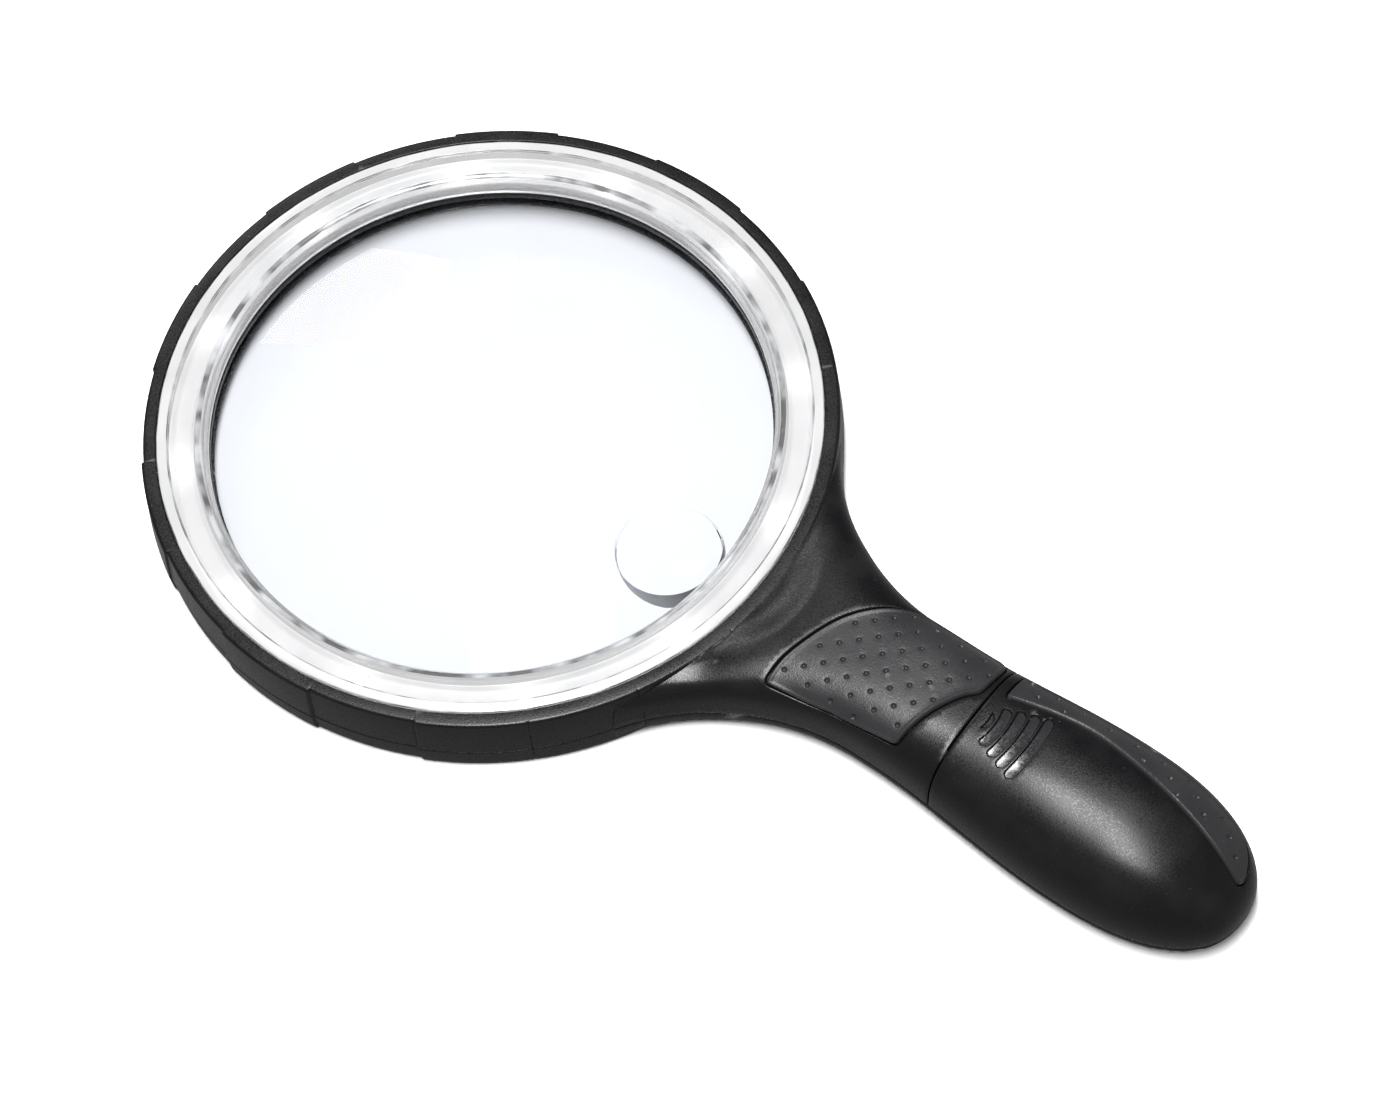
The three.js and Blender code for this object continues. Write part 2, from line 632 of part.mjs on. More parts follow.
function batteryTray() {
  const across = [-15.5, 15.5];
  const ridge = [[-2, 0], [2, 0], [0, 1.2]].map(([y, z]) => [y, z + 3]);
  const ridges = [-1, 1].map((side) => {
    const [from, to] = [TRAY_FRONT[0], TRAY_REAR[1]];
    return skin([from, to].map((x) =>
      ridge.map(([y, z]) => [x, y + (side * CELL_PITCH) / 2, z])));
  });
  const tray = join(
    block([TRAY_FRONT[0], TRAY_REAR[1]], [-8.4, 8.4], [2.5, 3.1]),
    block(TRAY_FRONT, across, [2.5, 11]),
    block(TRAY_REAR, across, [2.5, 11]),
    ...ridges,
  );
  const room = join(
    handleHalf(false, -WALL - GAP, SEAM_X, 206, PARTING_HEIGHT + 0.2),
    handleHalf(true, -WALL - GAP, SEAM_X, 206, PARTING_HEIGHT),
  );
  const wireHole = block([139, 143], [4.1, 6.5], [4.2, 6.4]);
  return cut(tray.intersect(room), wireHole);
}

// Outline of one cell, lying along x with its button at the front or at the rear.
function cell(y, buttonAtFront) {
  const button = 0.8;
  const profile = [
    [0, 0],
    [CELL_RADIUS - 0.5, 0],
    [CELL_RADIUS, 0.5],
    [CELL_RADIUS, CELL_LENGTH - button - 0.6],
    [CELL_RADIUS - 0.6, CELL_LENGTH - button],
    [1.9, CELL_LENGTH - button],
    [1.9, CELL_LENGTH],
    [0, CELL_LENGTH],
  ].map(([r, h]) => new THREE.Vector2(r, h));
  const geometry = new THREE.LatheGeometry(profile, 16);
  const turn = buttonAtFront ? Math.PI / 2 : -Math.PI / 2;
  const start = buttonAtFront ? CELL_FRONT_X + CELL_LENGTH : CELL_FRONT_X + SPRING_LENGTH + GAP;
  return solidOf(geometry.rotateZ(turn).translate(start, y, CELL_HEIGHT));
}

const CONTACT_HALF = 4.2;
const contactPlate = (x, y0, y1) =>
  block([x, x + 0.5], [y0 - CONTACT_HALF, y1 + CONTACT_HALF], [6.3, 12.4]);

// A conical coil spring from its contact plate towards the cell.
function coilSpring(y, plateX, direction) {
  const turns = 3.5;
  const perTurn = 8;
  const wire = 0.35;
  const points = Array.from({ length: turns * perTurn + 1 }, (_, i) => {
    const t = i / (turns * perTurn);
    const radius = 3.9 - 1.8 * t;
    const angle = 2 * Math.PI * turns * t;
    const along = wire + (SPRING_LENGTH - 2 * wire - 0.1) * t;
    return [
      plateX + direction * along,
      y + radius * Math.cos(angle),
      CELL_HEIGHT + radius * Math.sin(angle),
    ];
  });
  return rod(points, wire, turns * perTurn, 6);
}

const WIRE_RADIUS = 0.65;
const wires = {
  wire_battery_to_switch: {
    material: RED_WIRE,
    route: [
      [142.5, -10.6, 13.4],
      [140.5, -10.2, 14.2],
      [137, -8.8, 13.8],
      [130, -6.2, 13],
      [123, -4.4, 12.7],
      [118, -4, 12.6],
    ],
  },
  wire_switch_to_ring: {
    material: RED_WIRE,
    route: [
      [111, -4, 12.6],
      [106, -4.2, 12.6],
      [100, -4.8, 11],
      [92, -4.6, 9.8],
      [84, -3.6, 9.6],
      [78, -3, 10],
      [74.5, -3, 10.4],
    ],
  },
  wire_battery_to_ring: {
    material: BLACK_WIRE,
    route: [
      [192.2, 6.2, 5.2],
      [188, 5.4, 5.25],
      [165, 5.3, 5.25],
      [143, 5.3, 5.3],
      [137, 6.2, 6.4],
      [130, 8.4, 8],
      [115, 9.4, 8.8],
      [100, 8.2, 9.2],
      [90, 5.2, 9.6],
      [83, 3.8, 9.7],
      [78, 3, 10],
      [74.5, 3, 10.4],
    ],
  },
};

// ---------------------------------------------------------------- screws

// A self-tapping screw driven from below, with a cross recess in its head.
function screw([x, y]) {
  const lift = x > 85 ? NECK_UNDERSIDE : 0;
  const low = 0.7 + lift;
  const head = SCREW_HEAD_TOP + lift;
  const body = turned([
    [0, low],
    [1.3, low],
    [1.6, low + 0.4],
    [1.6, head],
    [0.9, head],
    [0.9, 12.6],
    [0, 13.4],
  ], { x, y, facets: POST_FACETS });
  const recess = [[0.9, 0.2], [0.2, 0.9]].map(([a, b]) =>
    block([x - a, x + a], [y - b, y + b], [low - BEYOND, low + 0.7]));
  return cut(body, ...recess);
}

// ---------------------------------------------------------------- assembly

const handLens = new THREE.Group();
handLens.name = "hand_lens";
const lensFrame = new THREE.Group(); // origin at the centre of the lens, on the table
handLens.add(lensFrame);

function place(name, solid, material) {
  const mesh = new THREE.Mesh(geometryOf(solid), material);
  mesh.name = name;
  lensFrame.add(mesh);
}

place("top_shell", topShell(), BLACK_PLASTIC);
place("bottom_shell", bottomShell(), BLACK_PLASTIC);
place("battery_cover", batteryCover(), BLACK_PLASTIC);
place("neck_grip_pad", patch(PAD_OUTLINE, GRIP_PROUD, GRIP_THICKNESS, 90, SEAM_X), BLACK_GRIP);
place("cover_grip_strip",
  patch(STRIP_OUTLINE, GRIP_PROUD, GRIP_THICKNESS, SEAM_X, TIP_X - 2), BLACK_GRIP);

place("main_lens", mainLens(), LENS_CLEAR);
place("lens_retainer", hoop(66.7, LENS_RADIUS, LENS_EDGE_TOP + GAP, 15.5), BLACK_PLASTIC);
place("clear_light_cover", lightCover(), COVER_CLEAR);
place("light_reflector", reflector(), WHITE_PLASTIC);
place("led_board", hoop(...BOARD_RADII, ...BOARD_HEIGHTS), BOARD_WHITE);
ledAngles.forEach((angle, i) => {
  const [long, wide, high] = LED_SIZE;
  const base = BOARD_HEIGHTS[1] + GAP;
  const number = String(i + 1).padStart(2, "0");
  const package_ = blockAt(angle, [long, wide], [base, base + high * 0.6]);
  const dome = blockAt(angle, [long - 0.9, wide - 0.9], [base, base + high]);
  place("led_" + number, join(package_, dome), LED_YELLOW);
});

place("switch_knob", switchKnob(), BLACK_GRIP);
place("switch_body", switchBody(), SWITCH_STEEL);
place("switch_board", switchBoard(), BOARD_GREEN);
place("current_limiting_resistor",
  rod([[SWITCH_X - 6, 4.6, 12.9], [SWITCH_X + 1, 4.6, 12.9]], 1.1, 1, 8), RESISTOR_TAN);

place("battery_tray", batteryTray(), BLACK_PLASTIC);
const rearPlateX = CELL_FRONT_X + CELL_LENGTH + SPRING_LENGTH + 2 * GAP;
place("battery_1", cell(-CELL_PITCH, true), CELL_SLEEVE);
place("battery_2", cell(0, false), CELL_SLEEVE);
place("battery_3", cell(CELL_PITCH, true), CELL_SLEEVE);
place("contact_front_single", contactPlate(142.3, -CELL_PITCH, -CELL_PITCH), SPRING_STEEL);
place("contact_front_pair", contactPlate(142.3, 0, CELL_PITCH), SPRING_STEEL);
place("contact_rear_pair", contactPlate(rearPlateX, -CELL_PITCH, 0), SPRING_STEEL);
place("contact_rear_single", contactPlate(rearPlateX, CELL_PITCH, CELL_PITCH), SPRING_STEEL);
place("spring_1", coilSpring(-CELL_PITCH, rearPlateX - GAP, -1), SPRING_STEEL);
place("spring_2", coilSpring(0, CELL_FRONT_X, 1), SPRING_STEEL);
place("spring_3", coilSpring(CELL_PITCH, rearPlateX - GAP, -1), SPRING_STEEL);
Object.entries(wires).forEach(([name, { route, material }]) =>
  place(name, rod(route, WIRE_RADIUS, route.length * 3, 6), material));

screwPlaces.forEach((at, i) => place("screw_" + (i + 1), screw(at), SCREW_STEEL));

// The origin is the middle of the whole object's footprint, on the table.
const middle = new THREE.Box3().setFromObject(lensFrame).getCenter(new THREE.Vector3());
lensFrame.position.set(-middle.x, -middle.y, 0);

export default handLens;
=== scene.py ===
"""The looks of a lit hand lens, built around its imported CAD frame.

Shapes are worked out in millimetres with the centre of the lens at x = 0, y = 0, the handle along +X
and z above the table, and turned into the frame's metres when a piece is made.
"""

import math

import bpy
import numpy as np
from mathutils import Matrix, Vector
from mathutils.geometry import delaunay_2d_cdt
from mathutils.kdtree import KDTree


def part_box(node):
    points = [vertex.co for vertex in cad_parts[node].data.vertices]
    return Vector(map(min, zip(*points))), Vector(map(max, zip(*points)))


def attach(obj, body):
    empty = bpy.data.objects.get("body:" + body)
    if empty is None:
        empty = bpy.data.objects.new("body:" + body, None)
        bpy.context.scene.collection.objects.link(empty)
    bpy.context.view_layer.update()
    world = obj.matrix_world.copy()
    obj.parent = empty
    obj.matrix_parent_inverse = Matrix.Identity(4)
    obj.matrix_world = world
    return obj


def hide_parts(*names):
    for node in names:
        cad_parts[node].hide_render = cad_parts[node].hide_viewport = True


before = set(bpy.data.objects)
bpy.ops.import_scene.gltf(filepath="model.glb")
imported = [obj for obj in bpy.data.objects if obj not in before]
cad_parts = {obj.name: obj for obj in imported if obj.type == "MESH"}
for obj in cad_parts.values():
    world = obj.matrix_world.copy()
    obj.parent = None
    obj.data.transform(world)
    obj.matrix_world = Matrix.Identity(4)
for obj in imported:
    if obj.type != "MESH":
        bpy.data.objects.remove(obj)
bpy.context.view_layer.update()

MM = 0.001
LENS_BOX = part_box("main_lens")
LENS_X = (LENS_BOX[0].x + LENS_BOX[1].x) / 2 / MM  # centre of the lens in the frame

# ---------------------------------------------------------------- sizes, in millimetres

TOP_EDGE = 7.8  # lower edge of the top shell and battery cover
BASE_EDGE = 7.5  # upper edge of the bottom shell

RING_RADIUS = 83
RING_HEIGHT = 19
RIM_TOP_RADIUS = 82.1
RIM_INNER_RADIUS = 78.8
CAVITY_RADIUS = 80.6
PANELS = 20
PANEL_SPAN = 360 / PANELS
PANEL_STEP = 0.5
PANEL_GROOVE = 0.22
NECK_PANELS = 2  # this many on each side of the handle stay flush

LENS_RADIUS = 69.1
LENS_CURVE_RADIUS = 400
LENS_CLEAR_RADIUS = 66
LENS_EDGE = (8.8, 11.4)
INSERT_X = 52
INSERT_RADIUS = 12.5
INSERT_BOTTOM = 3.4
INSERT_SAG = 1

COVER_UNDERSIDE = 17.5  # the clear cover's stretches above this height are seen from above
COVER_STEP_RADIUS = 75.8  # where its outer step starts

LED_COUNT = 12
LED_RADIUS = 73
LED_BASE = 12.9

TIP_X = 209.8
SEAM_X = 138.5
SEAM_GAP = 0.15  # each side of the seam
NECK_START_X = 70.5
NECK_HALF_WIDTH = 17.1
NECK_FILLET_RADIUS = 57
NECK_FILLET_END_X = 119
GRIP_HALF_WIDTH = 20.5
GRIP_WIDEST_X = 172
GRIP_HIGHEST_X = 178
GRIP_HEIGHT = 26.8
NECK_UNDERSIDE = 1.9
UNDERSIDE_RISE_X = 185

RIDGE_CENTRE_X = 60.2
RIDGE_RADIUS = 31.5
DISH_INNER_RADIUS = 21.9
DISH_DEPTH = 3.2
RIDGE_SOFTNESS = 0.7
DISH_REACH = 60  # the dish shapes the skin only this near the ridge's centre
DISH_RIM_WIDTH = 6
NECK_LEAN = 1.3  # how far the neck's sides lean in at the top, beside the ring

NECK_WALL = 2.4
COVER_WALL = 1.9
BASE_WALL = 2
GRIP_PROUD = 0.2
GRIP_THICKNESS = 0.8
GRIP_GAP = 0.3

SWITCH_X = 115.5
SWITCH_TRAVEL = 3.5
SWITCH_FLOOR = NECK_UNDERSIDE + BASE_WALL
SWITCH_BOARD = (10.3, 11.5)

CELL_RADIUS = 5.15
CELL_LENGTH = 44.5
CELL_PITCH = 10.6
CELL_HEIGHT = 8.55
CELL_FRONT_X = 143.1
SPRING_LENGTH = 4.5
REAR_PLATE_X = CELL_FRONT_X + CELL_LENGTH + SPRING_LENGTH + 0.6

RING_SCREW_RADIUS = 78.4
NECK_SCREWS = [(92, -15), (92, 15), (131, 0)]
SCREW_PLACES = [
    (RING_SCREW_RADIUS * math.cos(math.radians(a)), RING_SCREW_RADIUS * math.sin(math.radians(a)))
    for a in (45, 135, 225, 315)
] + NECK_SCREWS

# ---------------------------------------------------------------- plain solids


class Solid:
    """Points in millimetres, faces, and the number of the finish that each face takes."""

    def __init__(self, points, faces, paint=0):
        self.points = np.asarray(points, float).reshape(-1, 3)
        self.faces = [tuple(int(i) for i in face) for face in faces]
        self.paint = [paint] * len(self.faces) if isinstance(paint, int) else list(paint)

    def __add__(self, other):
        shift = len(self.points)
        faces = self.faces + [tuple(i + shift for i in face) for face in other.faces]
        return Solid(np.vstack([self.points, other.points]), faces, self.paint + other.paint)

    def facing_out(self):
        volume = 0
        for face in self.faces:
            a = self.points[face[0]]
            for i in range(1, len(face) - 1):
                volume += np.dot(a, np.cross(self.points[face[i]], self.points[face[i + 1]]))
        if volume >= 0:
            return self
        return Solid(self.points, [face[::-1] for face in self.faces], self.paint)


def together(solids):
    total = Solid(np.zeros((0, 3)), [])
    for solid in solids:
        total = total + solid
    return total


def skin_over(stations, closed=False, paint=0):
    """A skin over loops of points, one after another: closed on itself, or capped at both ends."""
    stations = np.asarray(stations, float)
    count, around = stations.shape[:2]
    points = stations.reshape(-1, 3)
    faces = []
    for i in range(count if closed else count - 1):
        here, there = i * around, (i + 1) % count * around
        for j in range(around):
            k = (j + 1) % around
            faces.append((here + j, there + j, there + k, here + k))
    if not closed:
        for end, loop in ((0, stations[0]), (count - 1, stations[-1])):
            middle = len(points)
            points = np.vstack([points, loop.mean(axis=0)])
            for j in range(around):
                k = (j + 1) % around
                pair = (end * around + j, end * around + k)
                faces.append((middle, *(pair if end == 0 else pair[::-1])))
    return Solid(points, faces, paint).facing_out()


def turned(profile, centre=(0, 0), steps=96, paint=0):
    """A profile of (radius, height) turned about an upright axis. It starts and ends on the axis, or
    closes on itself. Paint is one number, or one for each stretch of the profile."""
    profile = [(float(r), float(z)) for r, z in profile]
    closed = profile[0][0] > 0 or profile[-1][0] > 0
    angles = np.arange(steps) * 2 * math.pi / steps
    points, starts = [], []
    for radius, height in profile:
        starts.append((len(points), radius > 0))
        turn = angles if radius > 0 else [0.0]
        for angle in turn:
            points.append((
                centre[0] + radius * math.cos(angle), centre[1] + radius * math.sin(angle), height))
    faces, paints = [], []
    for i in range(len(profile) if closed else len(profile) - 1):
        (a, a_ring), (b, b_ring) = starts[i], starts[(i + 1) % len(profile)]
        for j in range(steps):
            k = (j + 1) % steps
            if a_ring and b_ring:
                faces.append((a + j, a + k, b + k, b + j))
            elif b_ring:
                faces.append((a, b + k, b + j))
            elif a_ring:
                faces.append((a + j, a + k, b))
            else:
                continue
            paints.append(paint if isinstance(paint, int) else paint[i])
    return Solid(points, faces, paints).facing_out()


def block(xs, ys, zs, soft=0.2, paint=0):
    """A box with softly rounded edges."""
    (x0, x1), (y0, y1), (z0, z1) = xs, ys, zs
    soft = min(soft, (x1 - x0) / 3, (y1 - y0) / 3, (z1 - z0) / 3)
    plan = softened([(x0, y0), (x1, y0), (x1, y1), (x0, y1)], soft * 1.5)
    return slab(plan, z0, z1, soft, paint)


def slab(outline, low, high, soft=0.15, paint=0):
    """An outline in plan raised from low to high, with its top and bottom edges rounded."""
    outline = np.asarray(outline, float)
    rise = [(low, soft), (low + soft * 0.3, soft * 0.3), (low + soft, 0)]
    fall = [(high - soft, 0), (high - soft * 0.3, soft * 0.3), (high, soft)]
    loops = []
    for height, inset in rise + fall:
        edge = offset(outline, -inset)
        loops.append(np.column_stack([edge, np.full(len(edge), height)]))
    return skin_over(loops, paint=paint)


def rod(route, radius, sides=14, per_step=5, paint=0):
    """A round rod along a smooth curve through the points of its route."""
    path = curve(route, per_step)
    ahead = np.gradient(path, axis=0)
    ahead /= np.linalg.norm(ahead, axis=1)[:, None]
    side = np.cross(ahead[0], (0, 0, 1.0))
    if np.linalg.norm(side) < 0.2:
        side = np.cross(ahead[0], (0, 1.0, 0))
    loops = []
    for point, direction in zip(path, ahead):
        side = side - direction * np.dot(side, direction)
        side /= np.linalg.norm(side)
        other = np.cross(direction, side)
        turn = np.arange(sides) * 2 * math.pi / sides
        loops.append(point + radius * (np.outer(np.cos(turn), side) + np.outer(np.sin(turn), other)))
    return skin_over(loops, paint=paint)


def curve(points, per_step):
    """A smooth curve through every point."""
    points = np.asarray(points, float)
    count = len(points)
    out = []
    for i in range(count - 1):
        p0, p1, p2, p3 = (points[min(max(i + k, 0), count - 1)] for k in (-1, 0, 1, 2))
        for t in np.arange(per_step) / per_step:
            out.append(0.5 * (
                2 * p1 + (p2 - p0) * t + (2 * p0 - 5 * p1 + 4 * p2 - p3) * t ** 2
                + (3 * p1 - p0 - 3 * p2 + p3) * t ** 3))
    return np.array([*out, points[-1]])


def softened(outline, radius, steps=4):
    """A closed outline with its corners rounded by about the radius, or by one radius for each."""
    outline = np.asarray(outline, float)
    count = len(outline)
    radii = [radius] * count if np.isscalar(radius) else list(radius)
    out = []
    for i, corner in enumerate(outline):
        before, after = outline[i - 1] - corner, outline[(i + 1) % count] - corner
        lengths = np.linalg.norm(before), np.linalg.norm(after)
        before, after = before / lengths[0], after / lengths[1]
        reach = min(radii[i], 0.45 * lengths[0], 0.45 * lengths[1])
        if reach < 1e-3:
            out.append(corner)
            continue
        a, b = corner + before * reach, corner + after * reach
        for t in np.linspace(0, 1, steps + 1):
            out.append((1 - t) ** 2 * a + 2 * t * (1 - t) * corner + t ** 2 * b)
    return np.array(out)


def area_of(outline):
    x, y = np.asarray(outline, float).T
    return 0.5 * float(np.sum(x * np.roll(y, -1) - np.roll(x, -1) * y))


def offset(outline, distance):
    """A closed outline moved outwards by a distance."""
    outline = np.asarray(outline, float)
    ahead = np.roll(outline, -1, axis=0) - outline
    ahead /= np.maximum(np.linalg.norm(ahead, axis=1), 1e-9)[:, None]
    normal = np.column_stack([ahead[:, 1], -ahead[:, 0]])
    out = normal + np.roll(normal, 1, axis=0)
    out /= np.maximum(np.linalg.norm(out, axis=1), 1e-9)[:, None]
    lean = np.maximum(0.5, np.sum(out * normal, axis=1))
    return outline + (math.copysign(1, area_of(outline)) * distance / lean)[:, None] * out


def evenly(outline, spacing, passes=0):
    """A closed outline in even steps, its corners eased by a few passes of averaging."""
    outline = np.asarray(outline, float)
    ring = np.vstack([outline, outline[:1]])
    run = np.concatenate([[0], np.cumsum(np.linalg.norm(np.diff(ring, axis=0), axis=1))])
    at = np.linspace(0, run[-1], max(8, round(run[-1] / spacing)), endpoint=False)
    even = np.column_stack([np.interp(at, run, ring[:, k]) for k in (0, 1)])
    for _ in range(passes):
        even = (np.roll(even, 1, axis=0) + 2 * even + np.roll(even, -1, axis=0)) / 4
    return even


def ease(x, low, high):
    t = np.clip((x - low) / (high - low), 0, 1)
    return t * t * (3 - 2 * t)


def lesser(a, b, softness):
    """The smaller of two heights, with a rounded meeting."""
    share = np.clip(0.5 + 0.5 * (b - a) / softness, 0, 1)
    return b + (a - b) * share - softness * share * (1 - share)


# ---------------------------------------------------------------- making pieces

FINISHES = {}


def finish(name):
    """The finish of that name, made the first time it is asked for."""
    if name not in FINISHES:
        maker, *values = MAKERS[name]
        FINISHES[name] = maker(*values)
    return FINISHES[name]


def shaded(mesh, angle):
    mesh.shade_smooth()
    mesh.set_sharp_from_angle(angle=math.radians(angle))


def made(name, solid, *finishes, angle=35):
    """A Blender object from a solid."""
    points = solid.points.copy()
    points[:, 0] += LENS_X
    mesh = bpy.data.meshes.new(name)
    mesh.from_pydata((points * MM).tolist(), [], solid.faces)
    mesh.polygons.foreach_set("material_index", solid.paint)
    mesh.update()
    shaded(mesh, angle)
    piece = bpy.data.objects.new(name, mesh)
    bpy.context.scene.collection.objects.link(piece)
    for each in finishes:
        mesh.materials.append(finish(each))
    return piece


def worked(piece, tool, operation, angle=35):
    """The piece with a solid cut from it or joined to it."""
    other = made("tool", tool)
    for material in piece.data.materials:
        other.data.materials.append(material)
    change = piece.modifiers.new("work", "BOOLEAN")
    change.operation = operation
    change.solver = "MANIFOLD"
    change.object = other
    graph = bpy.context.evaluated_depsgraph_get()
    result = bpy.data.meshes.new_from_object(piece.evaluated_get(graph))
    piece.modifiers.clear()
    piece.data = result
    bpy.data.objects.remove(other)
    shaded(piece.data, angle)
    return piece


def cut(piece, *tools):
    return worked(piece, together(tools), "DIFFERENCE")


def joined(piece, *tools):
    for tool in tools:
        worked(piece, tool, "UNION")
    return piece


def stands_for(piece, body, slot, *nodes):
    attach(piece, body)
    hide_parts(*nodes)
    return piece


# ---------------------------------------------------------------- the handle's form


def rounded_end(x, start, power):
    return (1 - np.clip((x - start) / (TIP_X - start), 0, 1) ** power) ** (1 / power)


def half_width(x):
    run = np.clip(NECK_FILLET_END_X - x, 0, NECK_FILLET_RADIUS)
    fillet = NECK_HALF_WIDTH + NECK_FILLET_RADIUS - np.sqrt(NECK_FILLET_RADIUS ** 2 - run ** 2)
    swell = ease(x, NECK_FILLET_END_X + 4, GRIP_WIDEST_X)
    grip = NECK_HALF_WIDTH + (GRIP_HALF_WIDTH - NECK_HALF_WIDTH) * swell
    return np.where(x < NECK_FILLET_END_X, fillet, grip * rounded_end(x, GRIP_WIDEST_X, 2.35))


CROWN = curve([
    (70, 19.05), (80, 19.2), (92, 21.5), (115, 23.4), (138, 24.4), (160, 26.2),
    (GRIP_HIGHEST_X, GRIP_HEIGHT), (196, GRIP_HEIGHT)], 40)
SECTION_POWER = curve([
    (70, 7), (82, 5.5), (100, 4.2), (120, 3.7), (138, 3), (170, 2.5), (210, 2.3)], 30)


def crown_height(x):
    height = np.interp(np.minimum(x, GRIP_HIGHEST_X), CROWN[:, 0], CROWN[:, 1]) - TOP_EDGE
    return height * rounded_end(x, GRIP_HIGHEST_X, 2.2)


def keel_depth(x):
    lifted = ease(x, 83, 100) - ease(x, 126, 150)
    return (BASE_EDGE - NECK_UNDERSIDE * lifted) * rounded_end(x, UNDERSIDE_RISE_X, 2.2)


def section_power(x):
    return np.interp(x, SECTION_POWER[:, 0], SECTION_POWER[:, 1])


def dish_height(x, y):
    """The hollow crescent between the ring and the neck, and its ridge."""
    from_centre = np.hypot(x - RIDGE_CENTRE_X, y)
    t = np.clip((from_centre - DISH_INNER_RADIUS) / (RIDGE_RADIUS - DISH_INNER_RADIUS), 0, 1)
    beyond = np.clip(from_centre - RIDGE_RADIUS, 0, None)
    hollow = RING_HEIGHT + 0.02 + DISH_DEPTH * t ** 1.8 + 6 * beyond
    from_lens = np.hypot(x, y)
    rim = RING_HEIGHT + 0.02 + 0.35 * np.clip(from_lens - RIM_TOP_RADIUS, 0, None) ** 1.5
    return np.minimum(hollow, np.where(from_lens < RIM_TOP_RADIUS + DISH_RIM_WIDTH, rim, 99))


def looked_up(table, row, column):
    row = np.clip(row, 0, table.shape[0] - 1.001)
    column = np.clip(column, 0, table.shape[1] - 1.001)
    i, j = row.astype(int), column.astype(int)
    s, t = row - i, column - j
    low = table[i, j] * (1 - t) + table[i, j + 1] * t
    high = table[i + 1, j] * (1 - t) + table[i + 1, j + 1] * t
    return low * (1 - s) + high * s


class HandleSkin:
    """The outside of the upper or lower half of the handle between two stations. A place on it is
    (u, v): the run along its middle line, and the run round the section from that line."""

    ROWS = 240
    COLUMNS = 161

    def __init__(self, upper, start, end):
        self.upper = upper
        self.rise = crown_height if upper else keel_depth
        t = np.linspace(0, 1, 2000)
        self.x = start + (end - start) * (1 - (1 - t) ** 2)
        step = np.hypot(np.diff(self.x), np.diff(self.rise(self.x)))
        self.run = np.concatenate([[0], np.cumsum(step)])
        self.length = self.run[-1]
        self.closes = end >= TIP_X
        self.rows = np.linspace(0, self.length, self.ROWS)
        angles = np.linspace(math.pi / 2, 0, self.COLUMNS)
        shares = np.linspace(0, 1, self.COLUMNS)
        self.girths, self.share_table, self.angle_table = [], [], []
        for x in np.interp(self.rows, self.run, self.x):
            across, up = self.section(np.full(self.COLUMNS, x), angles)
            run = np.concatenate([[0], np.cumsum(np.hypot(np.diff(across), np.diff(up)))])
            self.girths.append(run[-1])
            share = run / run[-1] if run[-1] > 0.01 else self.share_table[-1]
            self.share_table.append(share)
            self.angle_table.append(np.interp(shares, share, angles))
        self.share_table = np.array(self.share_table)
        self.angle_table = np.array(self.angle_table)

    def section(self, x, angle):
        power = section_power(x)
        c, s = np.cos(angle), np.sin(angle)
        reach = (np.abs(c) ** power + np.abs(s) ** power) ** (-1 / power)
        return half_width(x) * reach * c, self.rise(x) * reach * s

    def girth(self, u):
        return np.interp(u, self.rows, self.girths)

    def point(self, place):
        u, v = np.asarray(place, float).T
        x = np.interp(u, self.run, self.x)
        share = np.clip(np.abs(v) / np.maximum(self.girth(u), 1e-6), 0, 1)
        row = u / self.length * (self.ROWS - 1)
        angle = looked_up(self.angle_table, row, share * (self.COLUMNS - 1))
        across, up = self.section(x, angle)
        lean = NECK_LEAN * (1 - ease(x, 72, 96)) * up / np.maximum(self.rise(x), 0.1)
        y = np.sign(v) * np.maximum(across - lean * across / half_width(x).clip(0.1), 0)
        if not self.upper:
            return np.column_stack([x, y, BASE_EDGE - up])
        z = TOP_EDGE + up
        dished = lesser(z, dish_height(x, y), RIDGE_SOFTNESS)
        z = np.where(x < RIDGE_CENTRE_X + DISH_REACH, dished, z)
        return np.column_stack([x, y, z])

    def place(self, plan):
        """The (u, v) of points given in plan."""
        x, y = np.asarray(plan, float).T
        low, high = np.zeros(len(x)), np.full(len(x), math.pi / 2)
        for _ in range(40):
            middle = (low + high) / 2
            outside = self.section(x, middle)[0] > np.abs(y)
            low, high = np.where(outside, middle, low), np.where(outside, high, middle)
        u = np.interp(x, self.x, self.run)
        column = (1 - low / (math.pi / 2)) * (self.COLUMNS - 1)
        share = looked_up(self.share_table, u / self.length * (self.ROWS - 1), column)
        return np.column_stack([u, np.sign(y) * share * self.girth(u)])

    def border(self, inset, spacing):
        """The edge of the skin, or a loop that far inside it."""
        u = np.linspace(inset, self.length - inset, round(self.length / spacing))
        v = self.girth(u) - inset
        u, v = u[v > 0.4], v[v > 0.4]
        across = np.linspace(-1, 1, round(2 * v[0] / spacing))[1:-1]
        ring = [np.column_stack([np.full(len(across), u[0]), across * v[0]])]
        ring.append(np.column_stack([u, v]))
        if self.closes:
            ring.append([(self.length - inset, 0)])
        else:
            across = np.linspace(1, -1, round(2 * v[-1] / spacing))[1:-1]
            ring.append(np.column_stack([np.full(len(across), u[-1]), across * v[-1]]))
        ring.append(np.column_stack([u, -v])[::-1])
        return np.vstack(ring)

    def inward(self, place, ends):
        """The distance from the skin's edge, leaving out the ends that aren't named."""
        u, v = np.asarray(place, float).T
        distance = self.girth(u) - np.abs(v)
        if "start" in ends:
            distance = np.minimum(distance, u)
        if "end" in ends:
            distance = np.minimum(distance, self.length - u)
        return distance


